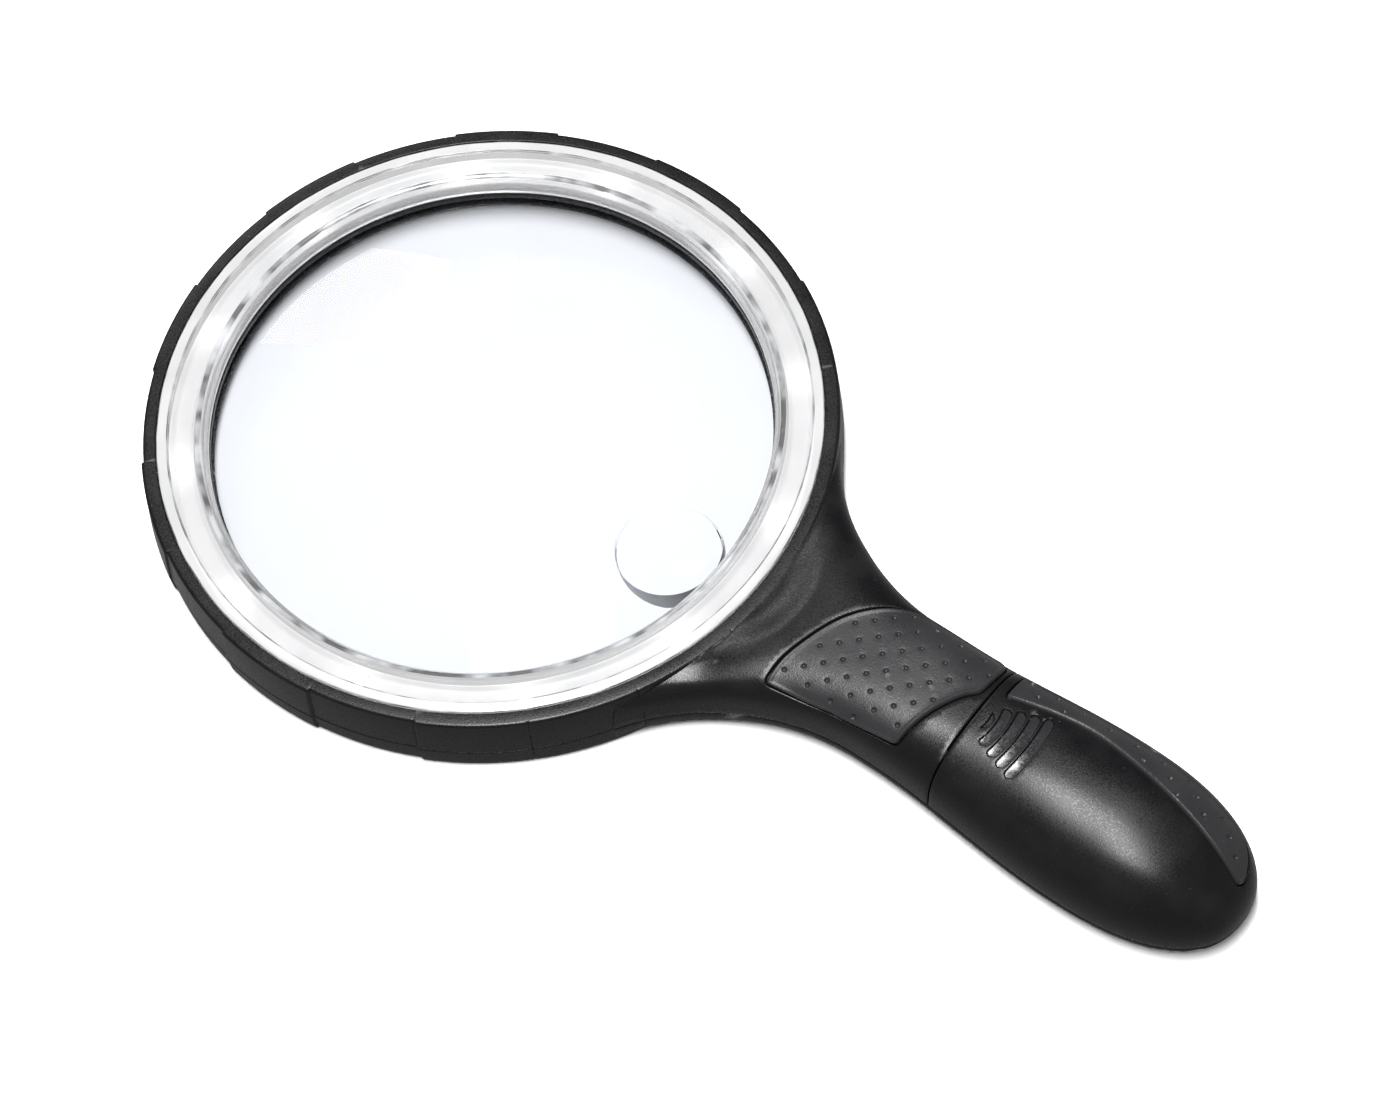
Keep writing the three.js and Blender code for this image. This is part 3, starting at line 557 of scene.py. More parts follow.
def signed_distance(places, outline):
    """How far each place is outside a closed outline: negative inside it."""
    a = np.asarray(outline, float)
    along = np.roll(a, -1, axis=0) - a
    squared = np.maximum(np.sum(along ** 2, axis=1), 1e-12)
    distance, inside = [], []
    for part in np.array_split(np.asarray(places, float), max(1, len(places) // 1500)):
        gap = part[:, None, :] - a[None]
        t = np.clip(np.sum(gap * along, axis=2) / squared, 0, 1)
        gap = gap - t[:, :, None] * along
        distance.append(np.sqrt(np.min(np.sum(gap ** 2, axis=2), axis=1)))
        y, y0, y1 = part[:, None, 1], a[:, 1], a[:, 1] + along[:, 1]
        spans = (y0 <= y) != (y1 <= y)
        slope = np.where(np.abs(along[:, 1]) < 1e-12, 1, along[:, 1])
        crossing = a[:, 0] + (y - y0) / slope * along[:, 0]
        inside.append(np.sum(spans & (part[:, None, 0] < crossing), axis=1) % 2 == 1)
    distance, inside = np.concatenate(distance), np.concatenate(inside)
    return np.where(inside, -distance, distance)


class Relief:
    """A recess, raised edge or dimple pressed into a skin: a height for each distance from its
    outline, with a loop of mesh at each of those distances."""

    def __init__(self, outline, steps, paint=None):
        self.outline = outline
        self.steps = steps
        self.paint = paint

    def loops(self):
        return [offset(self.outline, distance) for distance, _ in self.steps]

    def height(self, places):
        distances, heights = zip(*self.steps)
        return np.interp(signed_distance(places, self.outline), distances, heights)


class Dimple:
    PROFILE = [(0, -1), (0.4, -0.86), (0.72, -0.5), (0.92, -0.12), (1.12, -0.01), (1.35, 0)]

    def __init__(self, centre, radius, depth):
        self.centre = np.asarray(centre, float)
        self.radius = radius
        self.depth = depth

    def points(self):
        out = [self.centre]
        for share, _ in self.PROFILE[1:]:
            for angle in np.arange(12) * math.pi / 6 + share:
                out.append(self.centre + share * self.radius * np.array(
                    [math.cos(angle), math.sin(angle)]))
        return out

    def height(self, places):
        shares, heights = zip(*self.PROFILE)
        distance = np.linalg.norm(np.asarray(places) - self.centre, axis=1) / self.radius
        return self.depth * np.interp(distance, shares, heights)


def meshed(edge, loops, loose, spacing):
    """Triangles inside the edge loop. Loops are kept as rows of edges, and a grid fills the rest."""
    fixed = [edge, *loops]
    places, edges = [], []
    for loop in fixed:
        start, count = len(places), len(loop)
        places += [tuple(p) for p in loop]
        edges += [(start + i, start + (i + 1) % count) for i in range(count)]
    places += [tuple(p) for p in loose]
    near = KDTree(len(places))
    for i, (u, v) in enumerate(places):
        near.insert((u, v, 0), i)
    near.balance()
    low, high = np.min(edge, axis=0), np.max(edge, axis=0)
    grid = []
    for i, v in enumerate(np.arange(low[1], high[1], spacing * 0.866)):
        for u in np.arange(low[0] + (i % 2) * spacing / 2, high[0], spacing):
            grid.append((u, v))
    grid = np.array(grid)
    grid = grid[signed_distance(grid, edge) < -0.4 * spacing]
    grid = [p for p in grid if near.find((p[0], p[1], 0))[2] > 0.62 * spacing]
    every = [Vector(p) for p in places] + [Vector(p) for p in grid]
    inside_only = 1
    points, _, faces = delaunay_2d_cdt(every, edges, [], inside_only, 1e-4)[:3]
    return np.array([tuple(p) for p in points]), np.array([tuple(f) for f in faces])


def normals_of(points, triangles):
    a, b, c = (points[triangles[:, k]] for k in range(3))
    face = np.cross(b - a, c - a)
    total = np.zeros_like(points)
    for k in range(3):
        np.add.at(total, triangles[:, k], face)
    return total / np.maximum(np.linalg.norm(total, axis=1), 1e-12)[:, None]


def thick_sheet(points, outer, inner, triangles, paint=None):
    """A closed sheet between two heights along the normals of its middle surface."""
    normals = normals_of(points, triangles)
    count = len(points)
    shape = np.vstack([points + outer[:, None] * normals, points + inner[:, None] * normals])
    faces = [tuple(t) for t in triangles] + [tuple(t[::-1] + count) for t in triangles]
    edges = dict.fromkeys(edge for a, b, c in triangles for edge in ((a, b), (b, c), (c, a)))
    rim = [(a, b) for a, b in edges if (b, a) not in edges]
    faces += [(b, a, a + count, b + count) for a, b in rim]
    paints = (paint or [0] * len(triangles)) + [0] * (len(triangles) + len(rim))
    return Solid(shape, faces, paints).facing_out()


EDGE_ROUNDING = [(0, -0.3), (0.05, -0.17), (0.13, -0.07), (0.3, 0)]


def rounded_edge(distance):
    distances, heights = zip(*EDGE_ROUNDING)
    return np.interp(distance, distances, heights)


def wound_outwards(skin, base, triangles):
    """The triangles, turned over if they face into the handle."""
    out = np.sum(normals_of(base, triangles)[:, 2]) * (1 if skin.upper else -1)
    return triangles if out >= 0 else triangles[:, ::-1]


def handle_sheet(skin, wall, ends, reliefs, loose=(), spacing=1.1):
    """A moulded wall that follows the handle's skin out to its edge, with its reliefs. The edge is
    rounded along the sides and at the named ends."""
    loops = [skin.border(distance, spacing) for distance, _ in EDGE_ROUNDING[1:]]
    loops += [loop for relief in reliefs for loop in relief.loops()]
    places, triangles = meshed(skin.border(0, spacing), loops, loose, spacing)
    base = skin.point(places)
    triangles = wound_outwards(skin, base, triangles)
    height = rounded_edge(skin.inward(places, ends))
    paint = np.zeros(len(triangles), int)
    middles = places[triangles].mean(axis=1)
    for relief in reliefs:
        height += relief.height(places)
        if relief.paint is not None:
            innermost = relief.steps[0][0]
            paint[signed_distance(middles, relief.outline) < innermost + 0.1] = relief.paint
    return thick_sheet(base, height, np.full(len(places), -wall), triangles, paint.tolist())


# ---------------------------------------------------------------- grips and thumb slots

PAD_OUTLINE = np.vstack([
    curve([(95, -19.4), (95.3, -11), (99.4, 2), (106, 10.4), (114, 15.2)], 6),
    curve([(134.6, 16), (136.6, 15), (137, 12.5), (136.6, 6), (136, 4.3), (134, 2.4), (131.6, -2),
           (130, -6), (128.6, -11), (127.8, -15)], 5),
    [(111, -16.4)],
])
STRIP_OUTLINE = np.vstack([
    curve([(141.4, 7.2), (154, 10.2), (166, 10.8), (187, 7), (206.2, 1.8)], 8),
    curve([(206.8, 3.4), (203.6, 9.6), (197, 13.9), (182, 16.4), (165, 16.9), (141.2, 15.2)], 8),
])
OUTLINE_STEP = 0.8
COVER_SPACING = 0.9  # of the points that fill each sheet between its loops
GRIP_SPACING = 0.9
BASE_SPACING = 1.5

SLOT_PITCH = 3
SLOT_FIRST_X = 140.9
SLOT_HALF_LENGTHS = [2.4, 5.3, 6.7, 7.8, 8.9]
SLOT_HALF_WIDTH = 1.28
SLOT_MIDDLE_Y = -0.4
SLOT_BOW = 0.9

# Each relief is a list of (distance from its outline, height).
POCKET_STEPS = [(-0.08, -1.1), (0.0, -0.36), (0.1, -0.2), (0.24, -0.06), (0.42, 0)]
GRIP_STEPS = [
    (-1.5, GRIP_PROUD - 0.05), (-1.15, GRIP_PROUD), (-0.85, GRIP_PROUD + 0.16),
    (-0.55, GRIP_PROUD + 0.17), (-0.3, GRIP_PROUD - 0.02), (-0.12, -0.1), (0, -0.4)]
SLOT_STEPS = [(-0.4, -0.52), (-0.16, -0.5), (-0.04, -0.36), (0.04, -0.1), (0.12, -0.02), (0.24, 0)]

DIMPLE_RADIUS = 0.66
DIMPLE_DEPTH = 0.5
PAD_LATTICE = (97, -14.8, 3.2, 3.05)  # first x and y, and the pitch each way
STRIP_LATTICE = (161, 11.6, 3.45, 2.8)


def dimples_in(skin, outline, lattice, inset):
    """Dimples on a staggered lattice, a little inside the outline."""
    x0, y0, across, up = lattice
    spots = [
        (x0 + across * i, y0 + up * j)
        for i in range(-14, 16) for j in range(-14, 16) if (i - j) % 2 == 0
    ]
    spots = [(x, y) for x, y in spots if abs(y) < half_width(np.array(x)) - 1]
    spots = [p for p in spots if skin.x[0] < p[0] < skin.x[-1]]
    places = skin.place(spots)
    kept = places[signed_distance(places, outline) < -inset]
    return [Dimple(place, DIMPLE_RADIUS, DIMPLE_DEPTH) for place in kept]


def outline_on(skin, plan, passes=3):
    return evenly(skin.place(evenly(plan, 0.4, passes)), OUTLINE_STEP, 1)


def slot_outline(skin, number):
    """A bar across the handle, bowed forward, with squared ends. The first one is a thin leaf."""
    half, middle, wide = SLOT_HALF_LENGTHS[number], SLOT_MIDDLE_Y, SLOT_HALF_WIDTH
    x = SLOT_FIRST_X + SLOT_PITCH * number
    if number == 0:
        x, middle, wide = x + 0.5, 0, 0.6
    y = np.linspace(-half, half, 31)
    width = wide * (1 - np.abs(y / half) ** (2 if number == 0 else 24))
    bow = x + SLOT_BOW * (1 - (y / half) ** 2)
    y = y + middle
    plan = np.vstack([np.column_stack([bow - width, y]), np.column_stack([bow + width, y])[::-1][1:-1]])
    return evenly(skin.place(evenly(plan, 0.2)), 0.4)


def neck_skin():
    return HandleSkin(True, NECK_START_X, SEAM_X - SEAM_GAP)


def cover_skin():
    return HandleSkin(True, SEAM_X + SEAM_GAP, TIP_X)


def neck_sheet():
    skin = neck_skin()
    pocket = offset(outline_on(skin, PAD_OUTLINE), GRIP_GAP)
    ridge = []
    for radius in RIDGE_RADIUS + np.array([-1.4, -0.9, -0.5, -0.2, 0.1, 0.4, 0.8, 1.3]):
        for angle in np.arange(-62, 62, 1.1):
            turn = math.radians(angle)
            x, y = RIDGE_CENTRE_X + radius * math.cos(turn), radius * math.sin(turn)
            if x > NECK_START_X + 1 and math.hypot(x, y) > CAVITY_RADIUS:
                ridge.append((x, y))
    return handle_sheet(
        skin, NECK_WALL, ("end",), [Relief(pocket, POCKET_STEPS)], loose=skin.place(ridge))


def cover_sheet():
    skin = cover_skin()
    pocket = offset(outline_on(skin, STRIP_OUTLINE), GRIP_GAP)
    reliefs = [Relief(pocket, POCKET_STEPS)]
    reliefs += [Relief(slot_outline(skin, i), SLOT_STEPS, paint=1) for i in range(5)]
    return handle_sheet(skin, COVER_WALL, ("start",), reliefs, spacing=COVER_SPACING)


def grip_sheet(skin, plan, lattice, inset):
    """A soft grip that fills its pocket, with a raised bead round its edge and a field of dimples."""
    outline = outline_on(skin, plan)
    relief = Relief(outline, GRIP_STEPS)
    dimples = dimples_in(skin, outline, lattice, inset)
    loose = [point for dimple in dimples for point in dimple.points()]
    places, triangles = meshed(outline, relief.loops()[:-1], loose, GRIP_SPACING)
    base = skin.point(places)
    triangles = wound_outwards(skin, base, triangles)
    height = relief.height(places)
    for dimple in dimples:
        height += dimple.height(places)
    return thick_sheet(base, height, np.full(len(places), -GRIP_THICKNESS), triangles)


def skin_slab(skin, xs, ys, depths, steps=8):
    """A tongue that follows the inside of a skin between two depths."""
    x, y = np.meshgrid(np.linspace(*xs, steps), np.linspace(*ys, steps), indexing="ij")
    plan = np.column_stack([x.ravel(), y.ravel()])
    top = skin.point(skin.place(plan))
    triangles = []
    for i in range(steps - 1):
        for j in range(steps - 1):
            a = i * steps + j
            triangles += [(a, a + steps, a + steps + 1), (a, a + steps + 1, a + 1)]
    shallow, deep = (np.full(len(top), -depth) for depth in depths)
    return thick_sheet(top, shallow, deep, np.array(triangles))


# ---------------------------------------------------------------- the ring


def set_back(degrees):
    """How far the ring's wall sits back at an angle: every other panel away from the neck is recessed,
    and a fine groove runs up each joint between panels."""
    place = degrees / PANEL_SPAN - 0.5
    edge = round(place)
    off = (place - edge) * PANEL_SPAN
    recess = []
    for panel in (edge, edge + 1):
        from_neck = min(panel % PANELS, -panel % PANELS)
        recess.append(PANEL_STEP if from_neck > NECK_PANELS and panel % 2 == 0 else 0)
    groove = PANEL_GROOVE * max(0, 1 - abs(off) / 0.17)
    return recess[0] + (recess[1] - recess[0]) * float(ease(off, -0.12, 0.12)) + groove


def panel_angles():
    near_edge = [-0.5, -0.2, -0.1, 0, 0.1, 0.2, 0.5]
    across = np.arange(2, PANEL_SPAN - 1, 1.6)
    angles = []
    for panel in range(PANELS):
        edge = (panel + 0.5) * PANEL_SPAN
        angles += [edge + off for off in near_edge] + [edge + off for off in across]
    return sorted(angles)


def neck_joints():
    """Cutters for the panel joints that carry on up the sides of the neck."""
    line = block((RING_RADIUS + 0.45, RING_RADIUS + 4), (-0.13, 0.13), (-1, 15.5), 0.05)
    return together([on_ring(line, side * 1.5 * PANEL_SPAN) for side in (-1, 1)])


def panelled_ring(profile, moves_from, moves_to):
    stations = []
    for degrees in panel_angles():
        turn = math.radians(degrees)
        back = set_back(degrees)
        station = []
        for radius, height in profile:
            radius -= back * float(ease(radius, moves_from, moves_to))
            station.append((radius * math.cos(turn), radius * math.sin(turn), height))
        stations.append(station)
    return skin_over(stations, closed=True)


def bezel_ring():
    corners = [
        (RING_RADIUS, TOP_EDGE), (RIM_TOP_RADIUS + 0.1, RING_HEIGHT - 0.4),
        (RIM_TOP_RADIUS - 0.4, RING_HEIGHT), (RIM_INNER_RADIUS, RING_HEIGHT),
        (RIM_INNER_RADIUS, 16.8), (77.2, 16.8), (77.2, 15.6),
        (CAVITY_RADIUS - 0.3, 14.8), (CAVITY_RADIUS, TOP_EDGE),
    ]
    radii = [0.3, 0.5, 0.5, 0.2, 0.15, 0.1, 0.1, 0.4, 0.2]
    return panelled_ring(softened(corners, radii, 5), RIM_INNER_RADIUS + 1, RIM_TOP_RADIUS - 0.6)


BORE_TOP_RADIUS = 66.2
BORE_BOTTOM_RADIUS = 70.4


def base_ring():
    corners = [
        (RING_RADIUS, BASE_EDGE), (RING_RADIUS - 0.4, 2), (RING_RADIUS - 0.9, 0.6), (81.2, 0),
        (BORE_BOTTOM_RADIUS + 0.4, 0), (BORE_BOTTOM_RADIUS, 0.5), (BORE_TOP_RADIUS, 8),
        (BORE_TOP_RADIUS, 8.5), (LENS_RADIUS + 0.3, 8.5), (LENS_RADIUS + 0.3, 12.3),
        (LENS_RADIUS + 1.3, 12.3), (LENS_RADIUS + 1.5, 2.2), (CAVITY_RADIUS - 0.2, 2.2),
        (CAVITY_RADIUS, BASE_EDGE),
    ]
    radii = [0.3, 1, 0.4, 0.4, 0.2, 0.2, 0.1, 0.1, 0.1, 0.2, 0.2, 0.5, 0.5, 0.2]
    return panelled_ring(softened(corners, radii, 4), CAVITY_RADIUS, RING_RADIUS - 1.2)


def pin(radius, low, high, centre, steps=28):
    return turned([(0, low), (radius, low), (radius, high), (0, high)], centre, steps)


# ---------------------------------------------------------------- shells


def top_shell():
    shell = made("top_shell_moulding", neck_sheet(), "black_plastic")
    cut(shell, pin(CAVITY_RADIUS, -1, 40, (0, 0), 240))
    joined(shell, bezel_ring())
    posts = [pin(2.4, TOP_EDGE, 18.6, place) for place in NECK_SCREWS]
    posts += [pin(1.9, TOP_EDGE, 15.4, place) for place in SCREW_PLACES[:4]]
    joined(shell, *posts)
    holes = [pin(1.2, 0, 14, place, 20) for place in SCREW_PLACES]
    cut(shell, *holes)
    cut(shell, block((76, 86), (-8, 8), (0, 12.6), 0.8))
    cut(shell, neck_joints())
    return stands_for(shell, "body", "black_plastic", "top_shell")


def switch_recess(skin):
    plan = softened([(107.5, -6), (126.5, -6), (126.5, 6), (107.5, 6)], 3)
    return Relief(evenly(skin.place(plan), 0.8, 1), [(-0.5, -0.5), (-0.1, -0.4), (0.1, -0.1), (0.4, 0)])


def bottom_shell():
    skin = HandleSkin(False, NECK_START_X, TIP_X)
    sheet = handle_sheet(skin, BASE_WALL, (), [switch_recess(skin)], spacing=BASE_SPACING)
    shell = made("bottom_shell_moulding", sheet, "black_plastic")
    cut(shell, pin(CAVITY_RADIUS, -1, 40, (0, 0), 240))
    joined(shell, base_ring())
    posts = [pin(2.1, 1.2, BASE_EDGE, place) for place in SCREW_PLACES[:4]]
    posts += [pin(2.4, 3.2, BASE_EDGE, place) for place in NECK_SCREWS]
    for angle in range(30, 360, 60):
        turn = math.radians(angle)
        posts.append(pin(1.5, 2, 11.1, (LED_RADIUS * math.cos(turn), LED_RADIUS * math.sin(turn))))
    for side in (-1, 1):
        for x in (SWITCH_X - 7.5, SWITCH_X + 7.5):
            posts.append(pin(1.3, SWITCH_FLOOR - 0.8, SWITCH_BOARD[0] - 0.3, (x, side * 5.4)))
    joined(shell, together(posts))
    holes = []
    for place in SCREW_PLACES:
        lift = NECK_UNDERSIDE if place in NECK_SCREWS else 0
        holes.append(turned([
            (0, -1), (2.2, -1), (1.9, 0.3 + lift), (1.9, 2.6 + lift), (1.2, 2.6 + lift), (1.2, 20),
            (0, 20)], place, 28))
    cut(shell, *holes)
    cut(shell, block((77, 86), (-8, 8), (6.3, 12), 0.6))
    cut(shell, block(
        (SWITCH_X - 2.3, SWITCH_X + 2.3 + SWITCH_TRAVEL), (-1.9, 1.9), (-1, SWITCH_FLOOR + 1), 0.3))
    cut(shell, neck_joints())
    return stands_for(shell, "body", "black_plastic", "bottom_shell")


def battery_cover():
    skin = HandleSkin(True, SEAM_X - 5, TIP_X)
    cover = made("battery_cover_moulding", cover_sheet(), "black_plastic", "slot_gloss")
    tab = skin_slab(skin, (SEAM_X - 4, SEAM_X + 5), (-7, 7), (NECK_WALL + 0.3, NECK_WALL + 1.5))
    shoulder = skin_slab(skin, (SEAM_X + 1.5, SEAM_X + 5), (-7, 7), (COVER_WALL - 0.4, NECK_WALL + 1.5))
    joined(cover, tab, shoulder)
    return stands_for(cover, "battery_cover", "black_plastic", "battery_cover")


def grips():
    pad = made("neck_grip_overmould", grip_sheet(neck_skin(), PAD_OUTLINE, PAD_LATTICE, 1.4), "soft_grip")
    stands_for(pad, "body", "soft_grip", "neck_grip_pad")
    strip = made(
        "cover_strip_overmould", grip_sheet(cover_skin(), STRIP_OUTLINE, STRIP_LATTICE, 1.3), "soft_grip")
    stands_for(strip, "battery_cover", "soft_grip", "cover_grip_strip")


# ---------------------------------------------------------------- optics and light


def sag(radius, curve_radius):
    return curve_radius - math.sqrt(curve_radius ** 2 - radius ** 2)


def main_lens():
    rise = [
        (r, sag(LENS_CLEAR_RADIUS, LENS_CURVE_RADIUS) - sag(r, LENS_CURVE_RADIUS))
        for r in np.linspace(0, LENS_CLEAR_RADIUS, 34)
    ]
    low, high = LENS_EDGE
    profile = [(r, low - h) for r, h in rise]
    profile += [(LENS_RADIUS - 0.2, low), (LENS_RADIUS, low + 0.2), (LENS_RADIUS, high - 0.2)]
    profile += [(LENS_RADIUS - 0.2, high)] + [(r, high + h) for r, h in reversed(rise)]
    lens = made("lens_with_insert", turned(profile, steps=180), "lens_acrylic", "lens_frost", angle=20)
    bulb = [
        (r, INSERT_BOTTOM - INSERT_SAG * (1 - (r / INSERT_RADIUS) ** 2))
        for r in np.linspace(0, INSERT_RADIUS - 0.25, 14)
    ]
    wide = INSERT_RADIUS + 0.25
    foot = [(INSERT_RADIUS, INSERT_BOTTOM + 0.2), (wide, 7), (wide, 10), (0, 10)]
    wall = [0] * len(bulb) + [1, 1, 0]
    joined(lens, turned(bulb + foot, (INSERT_X, 0), 96, wall))
    shaded(lens.data, 20)
    return stands_for(lens, "body", "lens_acrylic", "main_lens")


def lens_retainer():
    profile = softened([
        (66.7, 11.7), (LENS_RADIUS, 11.7), (LENS_RADIUS, 13.6), (66.9, 13.6), (66.7, 13.3)],
        [0.2, 0.15, 0.3, 0.1, 0.1])
    hoop = made("retainer_hoop", turned(profile, steps=180), "black_plastic")
    return stands_for(hoop, "body", "black_plastic", "lens_retainer")


def clear_light_cover():
    profile = softened([
        (66.8, 13.9), (66.9, 15.8), (68.5, 18.3), (69.2, 18.5), (75.8, 18.5), (76, RING_HEIGHT),
        (78.5, RING_HEIGHT), (78.5, 17.2), (70.1, 17), (68.4, 15.8), (68.1, 13.9)],
        [0.15, 0.2, 0.6, 0.5, 0.12, 0.18, 0.25, 0.2, 0.5, 0.3, 0.15], 4)
    # Tight corners on the upper side take painted shade, standing in for the light that they bend away.
    clear, corner, land = 0, 1, 2
    paint = [clear] * len(profile)
    for i, (r, z) in enumerate(profile):
        after = profile[(i + 1) % len(profile)]
        if z > COVER_UNDERSIDE and math.hypot(after[0] - r, after[1] - z) < 0.2:
            paint[i] = corner
        elif z > COVER_UNDERSIDE and r > COVER_STEP_RADIUS:
            paint[i] = land
    ring = made(
        "clear_cover_ring", turned(profile, steps=240, paint=paint), "clear_plastic", "clear_corner_painted_shade",
        "clear_land", angle=40)
    return stands_for(ring, "body", "clear_plastic", "clear_light_cover")


def on_ring(solid, angle):
    """A solid made on the +X side of the ring, turned to an angle."""
    c, s = math.cos(math.radians(angle)), math.sin(math.radians(angle))
    turn = np.array([[c, s, 0], [-s, c, 0], [0, 0, 1]])
    return Solid(solid.points @ turn, solid.faces, solid.paint)


LED_ANGLES = [360 / LED_COUNT * (i + 0.5) for i in range(LED_COUNT)]


def light_reflector():
    profile = softened([
        (69.7, 12.9), (76.2, 12.9), (76.2, 14.7), (75.9, 14.7), (75, 13.7), (70.9, 13.7),
        (70, 14.7), (69.7, 14.7)], [0.1, 0.1, 0.1, 0.1, 0.8, 0.8, 0.1, 0.1])
    tray = made("reflector_tray", turned(profile, steps=180), "white_plastic")
    window = block((LED_RADIUS - 2.05, LED_RADIUS + 2.05), (-1.7, 1.7), (11, 16), 0.3)
    cut(tray, *[on_ring(window, angle) for angle in LED_ANGLES])
    return stands_for(tray, "body", "white_plastic", "light_reflector")


def led_board():
    profile = softened([(70.9, 11.4), (75.9, 11.4), (75.9, 12.6), (70.9, 12.6)], 0.12)
    board = made("led_board_ring", turned(profile, steps=180), "white_board")
    return stands_for(board, "body", "white_board", "led_board")


def led_package():
    """A moulded white body, two solder terminals and a clear dome."""
    body = block((71.25, 74.75), (-1.4, 1.4), (LED_BASE, LED_BASE + 1.1), 0.12)
    dome = [(1.15, LED_BASE + 1.05)]
    dome += [(1.15 * math.cos(t), LED_BASE + 1.1 + 0.8 * math.sin(t)) for t in np.linspace(0, 1.45, 9)]
    dome = turned([(0, LED_BASE + 1.05)] + dome + [(0, LED_BASE + 1.9)], (LED_RADIUS, 0), 28, 1)
    ends = [block((x - 0.25, x + 0.25), (-0.8, 0.8), (LED_BASE, LED_BASE + 0.3), 0.08, 2)
            for x in (71.2, 74.8)]
    return together([body, dome, *ends])


def leds():
    for i, angle in enumerate(LED_ANGLES):
        number = f"{i + 1:02d}"
        led = made(f"led_{number}_package", on_ring(led_package(), angle), "led_body", "led_dome", "tin")
        stands_for(led, "body", "led", f"led_{number}")


# ---------------------------------------------------------------- switch


def switch_knob():
    low = NECK_UNDERSIDE - 1.4
    plate = block((SWITCH_X - 3.5, SWITCH_X + 3.5), (-3.4, 3.4), (low, low + 1), 0.3)
    knob = made("switch_knob_moulding", plate, "knob_plastic")
    ribs = [block((SWITCH_X + x - 0.42, SWITCH_X + x + 0.42), (-2.9, 2.9), (low - 0.4, low + 0.4), 0.25)
            for x in (-2.4, -1.2, 0, 1.2, 2.4)]
    stem = block((SWITCH_X - 2, SWITCH_X + 2), (-1.6, 1.6), (low + 0.5, SWITCH_FLOOR + 1.4), 0.2)
    catch = block((SWITCH_X - 2.6, SWITCH_X + 2.6), (-3, 3), (SWITCH_FLOOR + 0.5, SWITCH_FLOOR + 1.4), 0.2)
    joined(knob, *ribs, stem, catch)
    return stands_for(knob, "switch_knob", "black_plastic", "switch_knob")


def switch_body():
    low, high = SWITCH_FLOOR + 1.8, SWITCH_BOARD[0] - 0.3
    can = block((SWITCH_X - 4.5, SWITCH_X + 6), (-3.2, 3.2), (low + 1, high), 0.35)
    base = block((SWITCH_X - 4.3, SWITCH_X + 5.8), (-3, 3), (low, low + 1.2), 0.2, 1)
    pins = [block((x - 0.3, x + 0.3), (y - 0.2, y + 0.2), (high - 0.5, high + 0.2), 0.08)
            for x in (SWITCH_X - 3, SWITCH_X + 0.7, SWITCH_X + 4.4) for y in (-2, 2)]
    body = made("switch_can", together([can, base, *pins]), "switch_steel", "knob_plastic")
    return stands_for(body, "body", "screw_steel", "switch_body")


def switch_board():
    low, high = SWITCH_BOARD
    board = block((SWITCH_X - 10, SWITCH_X + 10), (-7.4, 7.4), (low, high), 0.12)
    pads = []
    for x, y in [(SWITCH_X - 3, -2), (SWITCH_X + 0.7, -2), (SWITCH_X + 4.4, -2), (SWITCH_X - 3, 2),
                 (SWITCH_X + 0.7, 2), (SWITCH_X + 4.4, 2), (110, -4), (119, -4)]:
        pads.append(turned([
            (0, high - 0.1), (0.95, high - 0.1), (0.9, high + 0.08), (0.5, high + 0.35), (0.2, high + 0.6),
            (0, high + 0.62)], (x, y), 18, 1))
    piece = made("switch_board_plate", together([board, *pads]), "green_board", "tin")
    return stands_for(piece, "body", "green_board", "switch_board")


def resistor():
    y, z = 4.6, 12.9
    start, end = SWITCH_X - 6, SWITCH_X + 1
    shape = curve([
        (0, 0), (0.55, 0), (1.0, 0.35), (1.1, 0.9), (0.95, 1.5), (0.9, 2.2), (0.9, 4.8), (0.95, 5.5),
        (1.1, 6.1), (1.0, 6.65), (0.55, 7), (0, 7)], 3)
    body = turned([(max(0, r), h) for r, h in shape], (0, 0), 24)
    body = Solid(np.column_stack([start + body.points[:, 2], y + body.points[:, 0], z + body.points[:, 1]]),
                 body.faces, body.paint).facing_out()
    legs = []
    for x, way in ((start, -1), (end, 1)):
        legs.append(rod([(x - way * 0.4, y, z), (x + way * 0.9, y, z), (x + way * 1.5, y, z - 0.4),
                         (x + way * 1.6, y, z - 1.2)], 0.28, 10, 5, 1))
    piece = made("resistor_body", together([body, *legs]), "resistor_paint", "tin")
    return stands_for(piece, "body", "resistor", "current_limiting_resistor")


# ---------------------------------------------------------------- cells, contacts and wiring


def cell(y, button_at_front):
    """A cell with a shrunk sleeve that laps over a steel can."""
    button = 0.8
    top = CELL_LENGTH - button
    profile = [
        (0, 0.05), (3.4, 0.05), (3.6, 0.25), (4.2, 0.25), (4.35, 0), (CELL_RADIUS - 0.35, 0),
        (CELL_RADIUS - 0.08, 0.15), (CELL_RADIUS, 0.55), (CELL_RADIUS, 1.6), (CELL_RADIUS, top - 1.6),
        (CELL_RADIUS, top - 0.7), (CELL_RADIUS - 0.12, top - 0.25), (CELL_RADIUS - 0.5, top), (4.1, top),
        (3.95, top - 0.3), (2.6, top - 0.3), (2.3, top - 0.1), (1.95, top), (1.9, top + 0.55),
        (1.65, CELL_LENGTH), (0, CELL_LENGTH)]
    sleeve = range(4, 13)
    paint = [0 if i in sleeve else 1 for i in range(len(profile) - 1)]
    body = turned(profile, (0, 0), 56, paint)
    if button_at_front:
        x = CELL_FRONT_X + CELL_LENGTH - body.points[:, 2]
    else:
        x = CELL_FRONT_X + SPRING_LENGTH + 0.3 + body.points[:, 2]
    points = np.column_stack([x, y + body.points[:, 0], CELL_HEIGHT + body.points[:, 1]])
    return Solid(points, body.faces, body.paint).facing_out()


